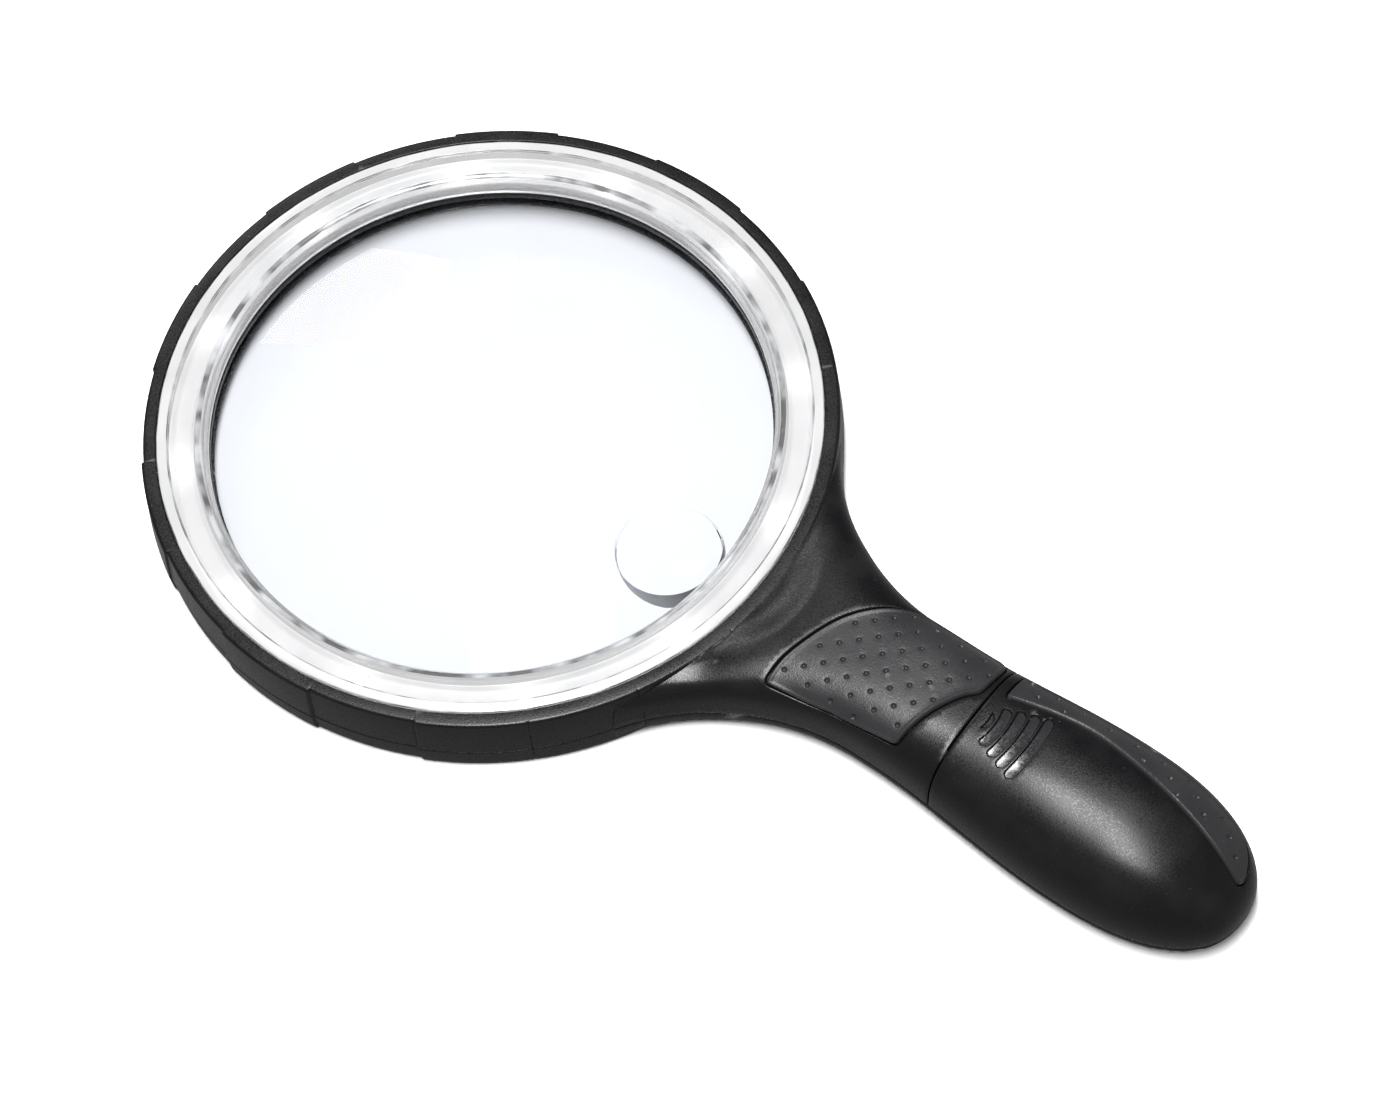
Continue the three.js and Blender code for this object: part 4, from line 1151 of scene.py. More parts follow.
def cells():
    for number, (y, front) in enumerate([(-CELL_PITCH, True), (0, False), (CELL_PITCH, True)], 1):
        piece = made(f"battery_{number}_cell", cell(y, front), "cell_sleeve", "cell_steel")
        stands_for(piece, "body", "cell_sleeve", f"battery_{number}")


def contact_plate(x, y0, y1, boss_ys):
    """A pressed plate standing across the handle, with a round boss for each button."""
    outline = softened([(y0 - 4.2, 6.3), (y1 + 4.2, 6.3), (y1 + 4.2, 12.4), (y0 - 4.2, 12.4)], 0.7)
    plate = slab(outline, x, x + 0.5, 0.12)
    total = Solid(plate.points[:, [2, 0, 1]], plate.faces, plate.paint).facing_out()
    for y in boss_ys:
        boss = turned([(0, 0.2), (1.5, 0.2), (1.35, 0.62), (1.0, 0.75), (0, 0.75)], (0, 0), 24)
        points = np.column_stack([
            x + boss.points[:, 2], y + boss.points[:, 0], CELL_HEIGHT + boss.points[:, 1]])
        total = total + Solid(points, boss.faces, boss.paint).facing_out()
    return total


CONTACTS = {
    "contact_front_single": (142.3, -CELL_PITCH, -CELL_PITCH, [-CELL_PITCH]),
    "contact_front_pair": (142.3, 0, CELL_PITCH, [CELL_PITCH]),
    "contact_rear_pair": (REAR_PLATE_X, -CELL_PITCH, 0, []),
    "contact_rear_single": (REAR_PLATE_X, CELL_PITCH, CELL_PITCH, []),
}


def contacts():
    for name, (x, y0, y1, bosses) in CONTACTS.items():
        plate = made(f"{name}_plate", contact_plate(x, y0, y1, bosses), "nickel")
        stands_for(plate, "body", "spring_steel", name)


def springs():
    starts = [(1, -CELL_PITCH, REAR_PLATE_X - 0.3, -1), (2, 0, CELL_FRONT_X, 1),
              (3, CELL_PITCH, REAR_PLATE_X - 0.3, -1)]
    turns, wire = 3.5, 0.35
    for number, y, start, way in starts:
        route = []
        for t in np.linspace(0, 1, 60):
            radius = 3.9 - 1.8 * t
            angle = 2 * math.pi * turns * t
            along = wire + (SPRING_LENGTH - 2 * wire - 0.1) * t
            route.append((start + way * along, y + radius * math.cos(angle),
                          CELL_HEIGHT + radius * math.sin(angle)))
        coil = made(f"spring_{number}_coil", rod(route, wire, 10, 2), "nickel")
        stands_for(coil, "body", "spring_steel", f"spring_{number}")


WIRE_RADIUS = 0.65
WIRES = {
    "wire_battery_to_switch": ("red_wire", [
        (142.5, -10.6, 13.4), (140.5, -10.2, 14.2), (137, -8.8, 13.8), (130, -6.2, 13),
        (123, -4.4, 12.7), (118, -4, 12.6)]),
    "wire_switch_to_ring": ("red_wire", [
        (111, -4, 12.6), (106, -4.2, 12.6), (100, -4.8, 11), (92, -4.6, 9.8), (84, -3.6, 9.6),
        (78, -3, 10), (74.5, -3, 10.4)]),
    "wire_battery_to_ring": ("black_wire", [
        (192.2, 6.2, 5.2), (188, 5.4, 5.25), (165, 5.3, 5.25), (143, 5.3, 5.3), (137, 6.2, 6.4),
        (130, 8.4, 8), (115, 9.4, 8.8), (100, 8.2, 9.2), (90, 5.2, 9.6), (83, 3.8, 9.7), (78, 3, 10),
        (74.5, 3, 10.4)]),
}


def wiring():
    for name, (finish_name, route) in WIRES.items():
        lead = made(f"{name}_lead", rod(route, WIRE_RADIUS, 14, 6), finish_name)
        stands_for(lead, "body", finish_name, name)


def screws():
    """Self-tapping screws, driven from below, with a pan head, a cross recess and a coarse thread."""
    for number, place in enumerate(SCREW_PLACES, 1):
        lift = NECK_UNDERSIDE if place in NECK_SCREWS else 0
        low, head = 0.7 + lift, 2.3 + lift
        profile = [(0, low), (0.9, low), (1.35, low + 0.15), (1.6, low + 0.55), (1.6, head), (0.95, head)]
        pitch = 0.9
        for i in range(int((12.4 - head) / pitch)):
            z = head + 0.4 + i * pitch
            profile += [(0.72, z), (0.74, z + 0.3), (1.1, z + 0.48), (0.74, z + 0.66)]
        profile += [(0.5, 12.9), (0, 13.4)]
        screw = made(f"screw_{number}_body", turned(profile, place, 28), "screw_steel")
        x, y = place
        arms = [block((x - a, x + a), (y - b, y + b), (low - 1, low + 0.8), 0.08)
                for a, b in ((0.95, 0.2), (0.2, 0.95))]
        for arm in arms:
            cut(screw, arm)
        stands_for(screw, "body", "screw_steel", f"screw_{number}")


# ---------------------------------------------------------------- shader helpers


def add(tree, kind, inputs=None, **settings):
    """A node with its settings, its inputs set to a value or linked to another node's output."""
    node = tree.nodes.new(kind)
    for name, value in settings.items():
        setattr(node, name, value)
    for name, value in (inputs or {}).items():
        if isinstance(value, bpy.types.NodeSocket):
            tree.links.new(value, node.inputs[name])
        else:
            node.inputs[name].default_value = value
    return node


def maths(tree, operation, a, b=0.0, clamp=False):
    return add(tree, "ShaderNodeMath", {0: a, 1: b}, operation=operation, use_clamp=clamp).outputs[0]


def blended(tree, share, a, b):
    """Two colours mixed."""
    return add(tree, "ShaderNodeMix", {0: share, 6: a, 7: b}, data_type="RGBA").outputs[2]


def ranged(tree, value, low, high, to_low=0.0, to_high=1.0):
    node = add(tree, "ShaderNodeMapRange", {0: value, 1: low, 2: high, 3: to_low, 4: to_high})
    return node.outputs[0]


def effect(name, inputs, outputs):
    """A new shader node group, with its input and output nodes."""
    tree = bpy.data.node_groups.new(name, "ShaderNodeTree")
    for label, value in inputs.items():
        socket = tree.interface.new_socket(label, in_out="INPUT", socket_type="NodeSocketFloat")
        socket.default_value = value
    for label in outputs:
        tree.interface.new_socket(label, in_out="OUTPUT", socket_type="NodeSocketFloat")
    return tree, tree.nodes.new("NodeGroupInput").outputs, tree.nodes.new("NodeGroupOutput").inputs


def surface_place(tree, size):
    """Object coordinates in units of a size in millimetres."""
    coordinates = add(tree, "ShaderNodeTexCoord").outputs["Object"]
    scale = maths(tree, "DIVIDE", 1 / MM, size)
    return add(tree, "ShaderNodeVectorMath", {0: coordinates, "Scale": scale}, operation="SCALE").outputs[0]


def noise(tree, place, detail=2.0, rough=0.5, scale=1.0):
    return add(tree, "ShaderNodeTexNoise", {
        "Vector": place, "Scale": scale, "Detail": detail, "Roughness": rough}).outputs["Fac"]


# ---------------------------------------------------------------- effects that finishes share


def make_moulded_grain():
    """The fine etched grain of a plastic mould, and the glints that its facets give."""
    tree, given, wanted = effect("moulded_grain", {"Size": 0.3, "Softness": 0.5}, ["Height", "Glint"])
    place = surface_place(tree, given["Size"])
    pits = add(tree, "ShaderNodeTexVoronoi", {
        "Vector": place, "Scale": 1.0, "Smoothness": given["Softness"]}, feature="SMOOTH_F1")
    ripple = maths(tree, "MULTIPLY", noise(tree, place, 3.0, 0.6, 1.7), 0.7)
    tree.links.new(maths(tree, "ADD", pits.outputs["Distance"], ripple), wanted["Height"])
    glint = ranged(tree, noise(tree, place, 1.0, 0.5, 0.9), 0.42, 0.66)
    tree.links.new(glint, wanted["Glint"])
    return tree


def make_handling_marks():
    """Broad faint smears where fingers have polished or dulled a surface."""
    tree, given, wanted = effect("handling_marks", {"Size": 22.0, "Contrast": 1.0}, ["Smear", "Haze"])
    place = surface_place(tree, given["Size"])
    broad = noise(tree, place, 2.0, 0.45)
    smear = ranged(tree, broad, 0.35, 0.7)
    tree.links.new(maths(tree, "MULTIPLY", smear, given["Contrast"]), wanted["Smear"])
    fine = noise(tree, place, 2.0, 0.5, 6.0)
    tree.links.new(maths(tree, "MULTIPLY", fine, smear), wanted["Haze"])
    return tree


def make_edge_polish():
    """Where the surface turns outwards sharply, rubbed smoother and paler."""
    tree, given, wanted = effect("edge_polish", {"Low": 0.55, "High": 0.64}, ["Edge"])
    pointy = add(tree, "ShaderNodeNewGeometry").outputs["Pointiness"]
    mask = add(tree, "ShaderNodeMapRange", {
        0: pointy, 1: given["Low"], 2: given["High"], 3: 0.0, 4: 1.0}).outputs[0]
    broken = ranged(tree, noise(tree, surface_place(tree, 1.4), 3.0, 0.6), 0.3, 0.62)
    tree.links.new(maths(tree, "MULTIPLY", mask, broken), wanted["Edge"])
    return tree


def make_fine_scratches():
    """Hair-thin wiping marks in two directions."""
    tree, given, wanted = effect("fine_scratches", {"Length": 9.0, "Amount": 1.0}, ["Scratch"])
    place = surface_place(tree, given["Length"])
    lines = []
    for stretch, turn in (((1.0, 26.0, 4.0), 0.5), ((24.0, 1.0, 4.0), 1.1)):
        turned_place = add(tree, "ShaderNodeMapping", {
            "Vector": place, "Rotation": (0.0, 0.0, turn), "Scale": stretch}).outputs[0]
        lines.append(ranged(tree, noise(tree, turned_place, 2.0, 0.4), 0.66, 0.74))
    both = maths(tree, "MAXIMUM", *lines)
    tree.links.new(maths(tree, "MULTIPLY", both, given["Amount"]), wanted["Scratch"])
    return tree


def make_settled_dust():
    """Specks and a film of dust on what faces up."""
    tree, given, wanted = effect("settled_dust", {"Amount": 1.0}, ["Dust"])
    normal = add(tree, "ShaderNodeNewGeometry").outputs["Normal"]
    up = add(tree, "ShaderNodeSeparateXYZ", {0: normal}).outputs[2]
    facing = ranged(tree, up, 0.25, 0.95)
    specks = ranged(tree, noise(tree, surface_place(tree, 0.7), 2.0, 0.7), 0.73, 0.8)
    film = ranged(tree, noise(tree, surface_place(tree, 9.0), 2.0, 0.4), 0.4, 0.8, 0.0, 0.05)
    total = maths(tree, "MULTIPLY", maths(tree, "MAXIMUM", specks, film), facing)
    tree.links.new(maths(tree, "MULTIPLY", total, given["Amount"]), wanted["Dust"])
    return tree


EFFECTS = {
    "moulded_grain": make_moulded_grain,
    "handling_marks": make_handling_marks,
    "edge_polish": make_edge_polish,
    "fine_scratches": make_fine_scratches,
    "settled_dust": make_settled_dust,
}


def use(tree, name, **values):
    """The outputs of a shared effect, placed in a finish with its own values."""
    group = bpy.data.node_groups.get(name) or EFFECTS[name]()
    node = add(tree, "ShaderNodeGroup", node_tree=group)
    for label, value in values.items():
        node.inputs[label.capitalize()].default_value = value
    return node.outputs


def new_finish(name, **fixed):
    """A material with its Principled shader's constants set. Returns the material, tree and shader."""
    material = bpy.data.materials.new(name)
    material.use_nodes = True
    tree = material.node_tree
    shader = tree.nodes["Principled BSDF"]
    for label, value in fixed.items():
        shader.inputs[label.replace("_", " ")].default_value = value
    return material, tree, shader


def bumped(tree, shader, height, distance):
    bump = add(tree, "ShaderNodeBump", {"Height": height, "Distance": distance, "Strength": 1.0})
    tree.links.new(bump.outputs[0], shader.inputs["Normal"])


def moulded_plastic(name, colour, worn, roughness, grain_size, grain_depth, gloss=0.5):
    """Moulded plastic: etched grain, polished edges, handling marks and a little dust."""
    material, tree, shader = new_finish(name, Specular_IOR_Level=gloss)
    grain = use(tree, "moulded_grain", size=grain_size)
    marks = use(tree, "handling_marks")
    edge = use(tree, "edge_polish")["Edge"]
    dust = use(tree, "settled_dust", amount=0.2)["Dust"]
    tint = blended(tree, maths(tree, "MULTIPLY", edge, 0.8), (*colour, 1), (*worn, 1))
    tint = blended(tree, dust, tint, (0.5, 0.5, 0.5, 1))
    tree.links.new(tint, shader.inputs["Base Color"])
    rough = maths(tree, "ADD", maths(tree, "MULTIPLY", marks["Smear"], -0.07), roughness)
    rough = maths(tree, "ADD", rough, maths(tree, "MULTIPLY", grain["Glint"], -0.1))
    rough = maths(tree, "ADD", rough, maths(tree, "MULTIPLY", edge, -0.08), clamp=True)
    tree.links.new(rough, shader.inputs["Roughness"])
    bumped(tree, shader, grain["Height"], grain_depth * MM)
    return material


# ---------------------------------------------------------------- finishes


def see_through(material, tree, shader):
    """Lets light through to the table instead of casting the clear piece's shadow."""
    path = add(tree, "ShaderNodeLightPath").outputs
    passing = maths(tree, "MAXIMUM", path["Is Shadow Ray"], path["Is Diffuse Ray"])
    clear = add(tree, "ShaderNodeBsdfTransparent", {"Color": (0.99, 0.99, 1.0, 1)})
    mix = add(tree, "ShaderNodeMixShader", {0: passing, 1: shader.outputs[0], 2: clear.outputs[0]})
    tree.links.new(mix.outputs[0], tree.nodes["Material Output"].inputs["Surface"])
    return material


def lens_acrylic():
    material, tree, shader = new_finish(
        "lens_acrylic", Transmission_Weight=1.0, IOR=1.49, Metallic=0.0,
        Specular_Tint=(0.02, 0.02, 0.02, 1))
    marks = use(tree, "handling_marks", size=30.0)
    scratch = use(tree, "fine_scratches", length=14.0, amount=0.5)["Scratch"]
    tint = blended(tree, marks["Smear"], (0.925, 0.955, 0.99, 1), (0.95, 0.97, 1.0, 1))
    tree.links.new(tint, shader.inputs["Base Color"])
    rough = maths(tree, "ADD", maths(tree, "MULTIPLY", marks["Haze"], 0.006),
                  maths(tree, "MULTIPLY", scratch, 0.03))
    tree.links.new(rough, shader.inputs["Roughness"])
    return see_through(material, tree, shader)


def lens_frost():
    """The moulded wall around the small lens, which isn't polished."""
    material, tree, shader = new_finish(
        "lens_moulded_wall", Transmission_Weight=0.75, IOR=1.2, Metallic=0.0,
        Specular_Tint=(0.05, 0.05, 0.05, 1))
    grain = use(tree, "moulded_grain", size=0.4)
    tint = blended(tree, grain["Glint"], (0.86, 0.88, 0.9, 1), (0.93, 0.94, 0.96, 1))
    tree.links.new(tint, shader.inputs["Base Color"])
    tree.links.new(ranged(tree, grain["Glint"], 0, 1, 0.34, 0.45), shader.inputs["Roughness"])
    return see_through(material, tree, shader)


def cover_plastic(name, transmission, low, high):
    """The clear cover's plastic, a little hazed, its grey tint between two values."""
    material, tree, shader = new_finish(
        name, Transmission_Weight=transmission, IOR=1.46, Metallic=0.0,
        Specular_Tint=(0.3, 0.3, 0.3, 1))
    marks = use(tree, "handling_marks", size=14.0)
    scratch = use(tree, "fine_scratches", length=6.0, amount=0.6)["Scratch"]
    tint = blended(tree, marks["Smear"], (low, low, low, 1), (high, high, high, 1))
    tree.links.new(tint, shader.inputs["Base Color"])
    rough = maths(tree, "ADD", maths(tree, "MULTIPLY", marks["Haze"], 0.05),
                  maths(tree, "MULTIPLY", scratch, 0.08))
    rough = maths(tree, "ADD", rough, 0.06)
    tree.links.new(rough, shader.inputs["Roughness"])
    return see_through(material, tree, shader)


def clear_corner_painted_shade():
    """The tight moulded corners of the clear cover, which bend the light away and look grey: the grey is
    painted shade, broken into streaks.
    """
    material, tree, shader = new_finish(
        "clear_cover_corner_painted_shade", Transmission_Weight=0.35, IOR=1.46, Metallic=0.0)
    painted_shade_streaks = noise(tree, surface_place(tree, 9.0), 2.0, 0.5)
    tint = blended(tree, ranged(tree, painted_shade_streaks, 0.4, 0.62), (0.08, 0.08, 0.085, 1), (0.4, 0.41, 0.42, 1))
    tree.links.new(tint, shader.inputs["Base Color"])
    grain = use(tree, "moulded_grain", size=0.5)
    tree.links.new(ranged(tree, grain["Glint"], 0, 1, 0.1, 0.2), shader.inputs["Roughness"])
    return see_through(material, tree, shader)


def painted_led_light(tree, reach):
    """Painted LED light on the reflector: 1 at each LED along the ring, fading over a reach in millimetres.
    """
    place = add(tree, "ShaderNodeTexCoord").outputs["Object"]
    part = add(tree, "ShaderNodeSeparateXYZ", {0: place}).outputs
    x = maths(tree, "SUBTRACT", part[0], LENS_X * MM)
    angle = maths(tree, "ARCTAN2", part[1], x)
    share = maths(tree, "MULTIPLY", angle, LED_COUNT / (2 * math.pi))
    off = maths(tree, "SUBTRACT", maths(tree, "FLOORED_MODULO", share, 1.0), 0.5)
    run = maths(tree, "MULTIPLY", off, 2 * math.pi * LED_RADIUS / LED_COUNT / reach)
    return maths(tree, "EXPONENT", maths(tree, "MULTIPLY", maths(tree, "MULTIPLY", run, run), -1.0))


def white_plastic():
    material, tree, shader = new_finish("reflector_white_painted_glow", Emission_Strength=1.0)
    grain = use(tree, "moulded_grain", size=0.5)
    marks = use(tree, "handling_marks", size=8.0)
    tint = blended(tree, marks["Smear"], (0.22, 0.22, 0.22, 1), (0.26, 0.26, 0.26, 1))
    tree.links.new(tint, shader.inputs["Base Color"])
    tree.links.new(ranged(tree, grain["Glint"], 0, 1, 0.42, 0.28), shader.inputs["Roughness"])
    # Painted light: the reflector glows as if lit by the LEDs, strongest beside each one and faint between
    # them.
    painted_glow = blended(tree, painted_led_light(tree, 6.0), (0.05, 0.05, 0.055, 1), (0.6, 0.6, 0.6, 1))
    tree.links.new(painted_glow, shader.inputs["Emission Color"])
    bumped(tree, shader, grain["Height"], 0.01 * MM)
    return material


def white_board():
    # Painted light: the board glows in its own colour at a quarter strength, as if lit by the LEDs.
    material, tree, shader = new_finish("led_board_white_painted_glow", Emission_Strength=0.25)
    place = surface_place(tree, 1.6)
    trace = ranged(tree, noise(tree, place, 1.0, 0.4), 0.49, 0.51)
    marks = use(tree, "handling_marks", size=6.0)
    tint = blended(tree, trace, (0.82, 0.83, 0.82, 1), (0.76, 0.78, 0.77, 1))
    tint = blended(tree, maths(tree, "MULTIPLY", marks["Smear"], 0.2), tint, (0.7, 0.7, 0.66, 1))
    tree.links.new(tint, shader.inputs["Base Color"])
    tree.links.new(tint, shader.inputs["Emission Color"])
    tree.links.new(ranged(tree, trace, 0, 1, 0.3, 0.42), shader.inputs["Roughness"])
    bumped(tree, shader, trace, 0.03 * MM)
    return material


def green_board():
    material, tree, shader = new_finish("switch_board_green")
    place = surface_place(tree, 2.2)
    lines = add(tree, "ShaderNodeTexBrick", {
        "Vector": place, "Scale": 1.0, "Mortar Size": 0.09, "Mortar Smooth": 0.0,
        "Color1": (0, 0, 0, 1), "Color2": (0.2, 0.2, 0.2, 1), "Mortar": (1, 1, 1, 1)}).outputs["Fac"]
    marks = use(tree, "handling_marks", size=7.0)
    tint = blended(tree, lines, (0.012, 0.09, 0.035, 1), (0.03, 0.17, 0.07, 1))
    tint = blended(tree, maths(tree, "MULTIPLY", marks["Smear"], 0.3), tint, (0.02, 0.07, 0.03, 1))
    tree.links.new(tint, shader.inputs["Base Color"])
    tree.links.new(ranged(tree, marks["Haze"], 0, 1, 0.3, 0.5), shader.inputs["Roughness"])
    bumped(tree, shader, lines, 0.03 * MM)
    return material


def led_body():
    # Painted light: the white body glows faintly, as if lit from inside by the chip under its dome.
    material, tree, shader = new_finish("led_body_white_painted_glow", Emission_Strength=0.4, Roughness=0.4)
    grain = use(tree, "moulded_grain", size=0.2)
    tint = blended(tree, grain["Glint"], (0.86, 0.86, 0.84, 1), (0.92, 0.92, 0.9, 1))
    tree.links.new(tint, shader.inputs["Base Color"])
    tree.links.new(tint, shader.inputs["Emission Color"])
    bumped(tree, shader, grain["Height"], 0.004 * MM)
    return material


def led_dome():
    material, tree, shader = new_finish("led_dome_lit", Emission_Strength=6.0, Roughness=0.1)
    speck = noise(tree, surface_place(tree, 0.3), 2.0, 0.6)
    tint = blended(tree, speck, (1.0, 0.93, 0.7, 1), (1.0, 0.97, 0.86, 1))
    tree.links.new(tint, shader.inputs["Base Color"])
    tree.links.new(blended(tree, speck, (0.95, 0.97, 1, 1), (1, 1, 1, 1)), shader.inputs["Emission Color"])
    return material


def metal(name, colour, tarnish, roughness, brushing):
    """Bare or plated metal with drawing lines, handling marks and a touch of tarnish."""
    material, tree, shader = new_finish(name, Metallic=1.0)
    marks = use(tree, "handling_marks", size=4.0)
    scratch = use(tree, "fine_scratches", length=brushing, amount=1.0)["Scratch"]
    tint = blended(tree, marks["Smear"], (*colour, 1), (*tarnish, 1))
    tree.links.new(tint, shader.inputs["Base Color"])
    rough = maths(tree, "ADD", maths(tree, "MULTIPLY", marks["Haze"], 0.2), roughness)
    rough = maths(tree, "ADD", rough, maths(tree, "MULTIPLY", scratch, 0.12))
    tree.links.new(rough, shader.inputs["Roughness"])
    bumped(tree, shader, scratch, 0.004 * MM)
    return material


def cell_sleeve():
    """A printed plastic sleeve: a dark blue body with one pale band at the button end."""
    material, tree, shader = new_finish("cell_sleeve_print", Coat_Weight=0.4, Coat_Roughness=0.15)
    place = add(tree, "ShaderNodeTexCoord").outputs["Object"]
    x = add(tree, "ShaderNodeSeparateXYZ", {0: place}).outputs[0]
    front = (LENS_X + CELL_FRONT_X + 9.5) * MM
    band = ranged(tree, x, front - 0.05 * MM, front + 0.05 * MM)
    marks = use(tree, "handling_marks", size=6.0)
    scratch = use(tree, "fine_scratches", length=5.0, amount=0.6)["Scratch"]
    tint = blended(tree, band, (0.62, 0.63, 0.62, 1), (0.02, 0.09, 0.2, 1))
    tint = blended(tree, maths(tree, "MULTIPLY", marks["Smear"], 0.12), tint, (0.3, 0.32, 0.35, 1))
    tree.links.new(tint, shader.inputs["Base Color"])
    rough = maths(tree, "ADD", maths(tree, "MULTIPLY", scratch, 0.2), 0.24)
    tree.links.new(rough, shader.inputs["Roughness"])
    bumped(tree, shader, marks["Smear"], 0.02 * MM)
    return material


def wire_sleeve(name, colour, pale):
    material, tree, shader = new_finish(name)
    marks = use(tree, "handling_marks", size=3.0)
    grain = use(tree, "moulded_grain", size=0.12)
    tint = blended(tree, marks["Smear"], (*colour, 1), (*pale, 1))
    tree.links.new(tint, shader.inputs["Base Color"])
    tree.links.new(ranged(tree, marks["Haze"], 0, 1, 0.38, 0.55), shader.inputs["Roughness"])
    bumped(tree, shader, grain["Height"], 0.006 * MM)
    return material


def resistor_paint():
    """Tan enamel with colour bands across it."""
    material, tree, shader = new_finish("resistor_enamel", Coat_Weight=0.5, Coat_Roughness=0.1)
    place = add(tree, "ShaderNodeTexCoord").outputs["Object"]
    x = add(tree, "ShaderNodeSeparateXYZ", {0: place}).outputs[0]
    tint = (0.55, 0.4, 0.24, 1)
    bands = [(1.2, (0.12, 0.03, 0.01)), (2.7, (0.02, 0.02, 0.02)), (3.9, (0.5, 0.02, 0.02)),
             (5.6, (0.5, 0.35, 0.08))]
    for start, colour in bands:
        middle = (LENS_X + SWITCH_X - 6 + start) * MM
        gap = maths(tree, "ABSOLUTE", maths(tree, "SUBTRACT", x, middle))
        tint = blended(tree, ranged(tree, gap, 0.3 * MM, 0.36 * MM, 1.0, 0.0), tint, (*colour, 1))
    tree.links.new(tint, shader.inputs["Base Color"])
    grain = use(tree, "moulded_grain", size=0.25)
    tree.links.new(ranged(tree, grain["Glint"], 0, 1, 0.35, 0.28), shader.inputs["Roughness"])
    bumped(tree, shader, grain["Height"], 0.006 * MM)
    return material


# Each finish: what makes it, and the values it takes.
MAKERS = {
    "black_plastic": (moulded_plastic, "black_plastic_satin", (0.002, 0.002, 0.0024),
                      (0.09, 0.09, 0.095), 0.36, 0.34, 0.012, 0.22),
    "slot_gloss": (moulded_plastic, "thumb_slot_gloss", (0.01, 0.01, 0.011),
                   (0.05, 0.05, 0.05), 0.24, 0.6, 0.002),
    "knob_plastic": (moulded_plastic, "knob_black", (0.006, 0.006, 0.007),
                     (0.03, 0.03, 0.03), 0.4, 0.3, 0.012),
    "soft_grip": (moulded_plastic, "soft_grip_rubber", (0.014, 0.014, 0.015),
                  (0.12, 0.12, 0.125), 0.42, 0.36, 0.03, 0.22),
    "lens_acrylic": (lens_acrylic,),
    "lens_frost": (lens_frost,),
    "clear_plastic": (cover_plastic, "clear_cover_plastic", 0.78, 0.58, 0.64),
    "clear_land": (cover_plastic, "clear_cover_land", 0.5, 0.5, 0.56),  # milky, over the black ring
    "clear_corner_painted_shade": (clear_corner_painted_shade,),
    "white_plastic": (white_plastic,),
    "white_board": (white_board,),
    "green_board": (green_board,),
    "led_body": (led_body,),
    "led_dome": (led_dome,),
    "tin": (metal, "solder_tin", (0.72, 0.72, 0.7), (0.55, 0.55, 0.54), 0.25, 1.5),
    "nickel": (metal, "nickel_plate", (0.78, 0.76, 0.7), (0.62, 0.59, 0.52), 0.2, 3.0),
    "switch_steel": (metal, "switch_can_steel", (0.7, 0.7, 0.7), (0.56, 0.56, 0.55), 0.26, 2.0),
    "screw_steel": (metal, "screw_zinc", (0.6, 0.6, 0.62), (0.42, 0.42, 0.42), 0.3, 1.2),
    "cell_steel": (metal, "cell_can_steel", (0.72, 0.71, 0.69), (0.58, 0.57, 0.55), 0.24, 2.4),
    "cell_sleeve": (cell_sleeve,),
    "red_wire": (wire_sleeve, "red_wire_sleeve", (0.42, 0.012, 0.01), (0.5, 0.03, 0.02)),
    "black_wire": (wire_sleeve, "black_wire_sleeve", (0.012, 0.012, 0.012), (0.025, 0.025, 0.025)),
    "resistor_paint": (resistor_paint,),
}

# ---------------------------------------------------------------- camera, floor and light

CAMERA_AZIMUTH = 42.1
CAMERA_ELEVATION = 60.3
CAMERA_ROLL = -5.47
CAMERA_DISTANCE = 785
CAMERA_AIM = (60.7, -1.6, 19)
CAMERA_LENS = 89.57

FLOOR_REACH = 6  # metres each way
STUDIO_STRENGTH = 0.5
STAGE_CENTRE = (60, 0, 10)  # what the soft boxes point at


def in_frame(x, y, z):
    return Vector((x + LENS_X, y, z)) * MM


def set_camera():
    a, e, roll = (math.radians(d) for d in (CAMERA_AZIMUTH, CAMERA_ELEVATION, CAMERA_ROLL))
    back = Vector((math.sin(a) * math.cos(e), -math.cos(a) * math.cos(e), math.sin(e)))
    level = Vector((math.cos(a), math.sin(a), 0))
    up = back.cross(level)
    right = level * math.cos(roll) + up * math.sin(roll)
    top = up * math.cos(roll) - level * math.sin(roll)
    camera = bpy.data.objects.new("camera", bpy.data.cameras.new("camera"))
    camera.data.lens = CAMERA_LENS
    camera.data.sensor_width = 36
    turn = Matrix((right, top, back)).transposed().to_4x4()
    camera.matrix_world = Matrix.Translation(
        in_frame(*CAMERA_AIM) + back * CAMERA_DISTANCE * MM) @ turn
    bpy.context.scene.collection.objects.link(camera)
    bpy.context.scene.camera = camera
    return right, top


def soft_light(name, direction, distance, size, power, along):
    """A soft box aimed at the middle of the object, its second side lying along a direction."""
    lamp = bpy.data.lights.new(name, "AREA")
    lamp.shape = "RECTANGLE"
    lamp.size, lamp.size_y = size
    lamp.energy = power
    box = bpy.data.objects.new(name, lamp)
    back = Vector(direction).normalized()
    across = Vector(along).cross(back).normalized()
    turn = Matrix((across, back.cross(across), back)).transposed().to_4x4()
    box.matrix_world = Matrix.Translation(in_frame(*STAGE_CENTRE) + back * distance) @ turn
    bpy.context.scene.collection.objects.link(box)


def set_studio(dim_side):
    """White studio walls all round, with the ceiling on one side left dimmer."""
    world = bpy.data.worlds.new("studio")
    world.use_nodes = True
    tree = world.node_tree
    ray = add(tree, "ShaderNodeTexCoord").outputs["Generated"]
    toward = add(tree, "ShaderNodeVectorMath", {0: ray, 1: dim_side.normalized()},
                 operation="DOT_PRODUCT").outputs["Value"]
    share = ranged(tree, toward, 0.35, 0.9)
    colour = blended(tree, share, (1, 1, 1, 1), (0.4, 0.41, 0.42, 1))
    background = tree.nodes["Background"]
    tree.links.new(colour, background.inputs["Color"])
    background.inputs["Strength"].default_value = STUDIO_STRENGTH
    bpy.context.scene.world = world


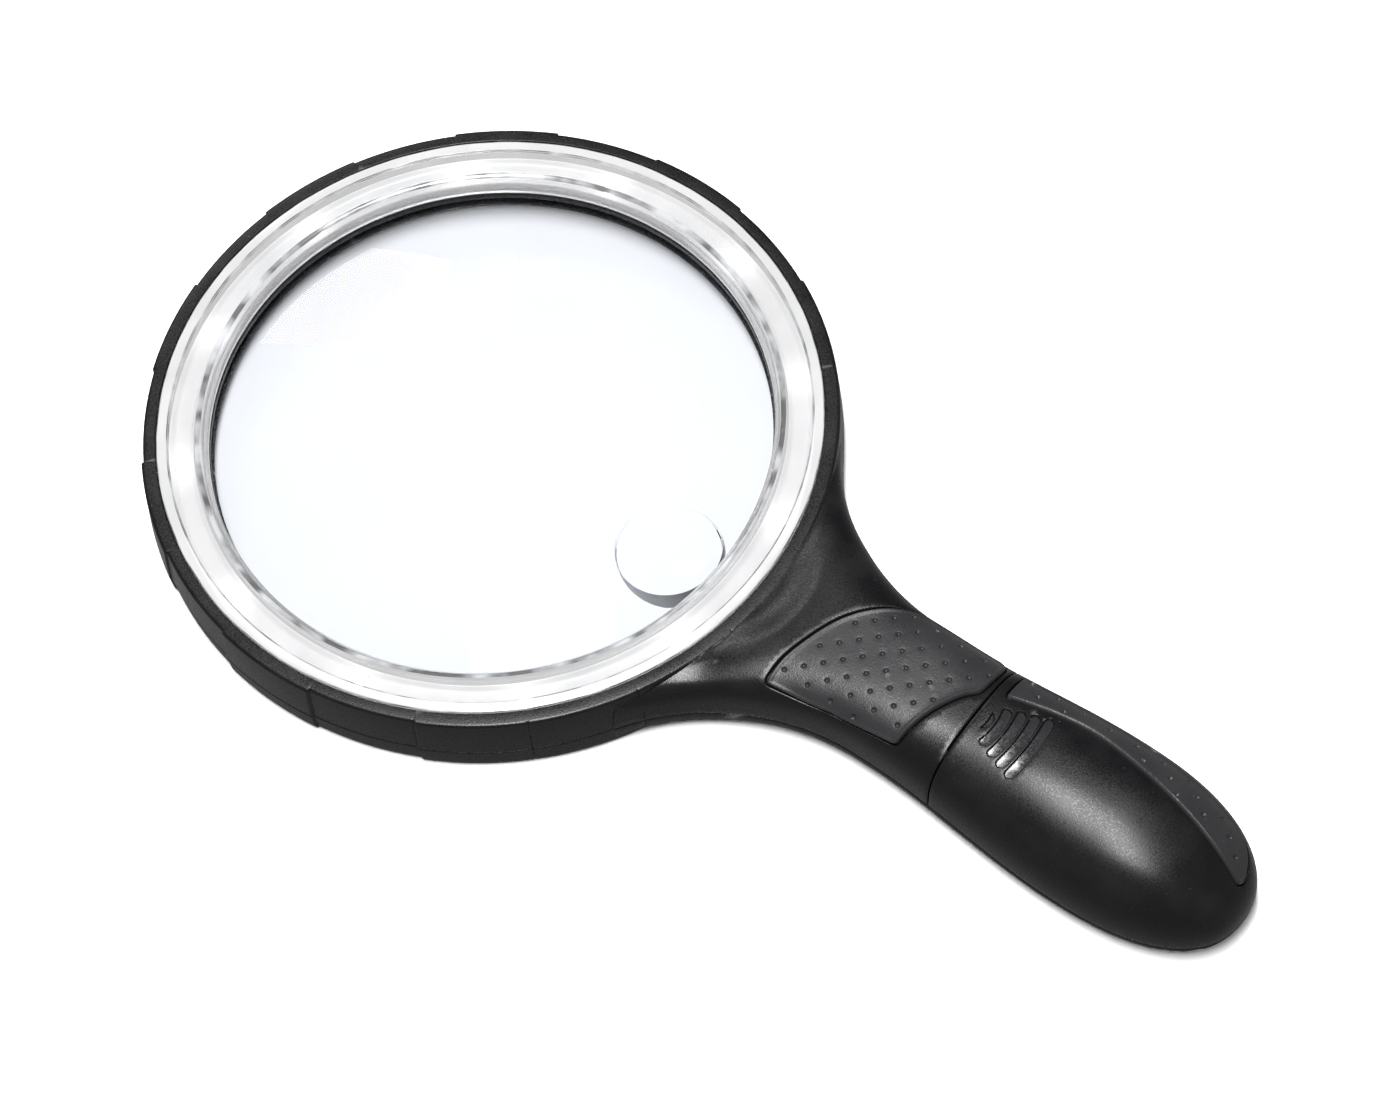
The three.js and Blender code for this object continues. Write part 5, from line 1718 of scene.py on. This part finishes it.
def floor_paper():
    """Pale paper, dimmer in reflections and through the clear pieces so that they aren't washed out."""
    paper, tree, shader = new_finish("floor_paper", Roughness=0.9)
    tooth = noise(tree, surface_place(tree, 1.5), 3.0, 0.6)
    ray = add(tree, "ShaderNodeLightPath").outputs
    pale = blended(tree, tooth, (0.9, 0.9, 0.9, 1), (0.92, 0.92, 0.92, 1))
    mirrored = blended(tree, ray["Is Glossy Ray"], pale, (0.15, 0.15, 0.15, 1))
    seen = blended(tree, ray["Is Transmission Ray"], mirrored, (0.385, 0.385, 0.385, 1))
    tree.links.new(seen, shader.inputs["Base Color"])
    return paper


def set_stage(right, top):
    reach = FLOOR_REACH
    mesh = bpy.data.meshes.new("floor")
    mesh.from_pydata([(-reach, -reach, 0), (reach, -reach, 0), (reach, reach, 0), (-reach, reach, 0)],
                     [], [(0, 1, 2, 3)])
    mesh.materials.append(floor_paper())
    floor = bpy.data.objects.new("floor", mesh)
    bpy.context.scene.collection.objects.link(floor)

    bpy.context.scene.view_settings.view_transform = "Standard"
    above = Vector((0, 0, 1))
    away = Vector((top.x, top.y, 0)).normalized()
    left = -Vector((right.x, right.y, 0)).normalized()
    set_studio(away * 0.6 + above * 0.8)
    soft_light("overhead_box", away * -0.06 + left * 0.06 + above, 1.1, (0.26, 0.9), 31, away)
    soft_light("far_box", left * 0.36 + away * 0.7 + above * 0.6, 1.2, (0.35, 0.22), 2.4, away)


# ---------------------------------------------------------------- the scene


def battery_tray():
    """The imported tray's shape is right as it is: it gets softened edges and a proper finish."""
    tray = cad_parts["battery_tray"]
    tray.data.materials.clear()
    tray.data.materials.append(finish("knob_plastic"))
    edge = tray.modifiers.new("soft_edges", "BEVEL")
    edge.width = 0.15 * MM
    edge.segments = 2
    edge.limit_method = "ANGLE"


def build():
    right, top = set_camera()
    set_stage(right, top)
    top_shell()
    bottom_shell()
    battery_cover()
    grips()
    main_lens()
    lens_retainer()
    clear_light_cover()
    light_reflector()
    led_board()
    leds()
    switch_knob()
    switch_body()
    switch_board()
    resistor()
    cells()
    contacts()
    springs()
    wiring()
    screws()
    battery_tray()


build()
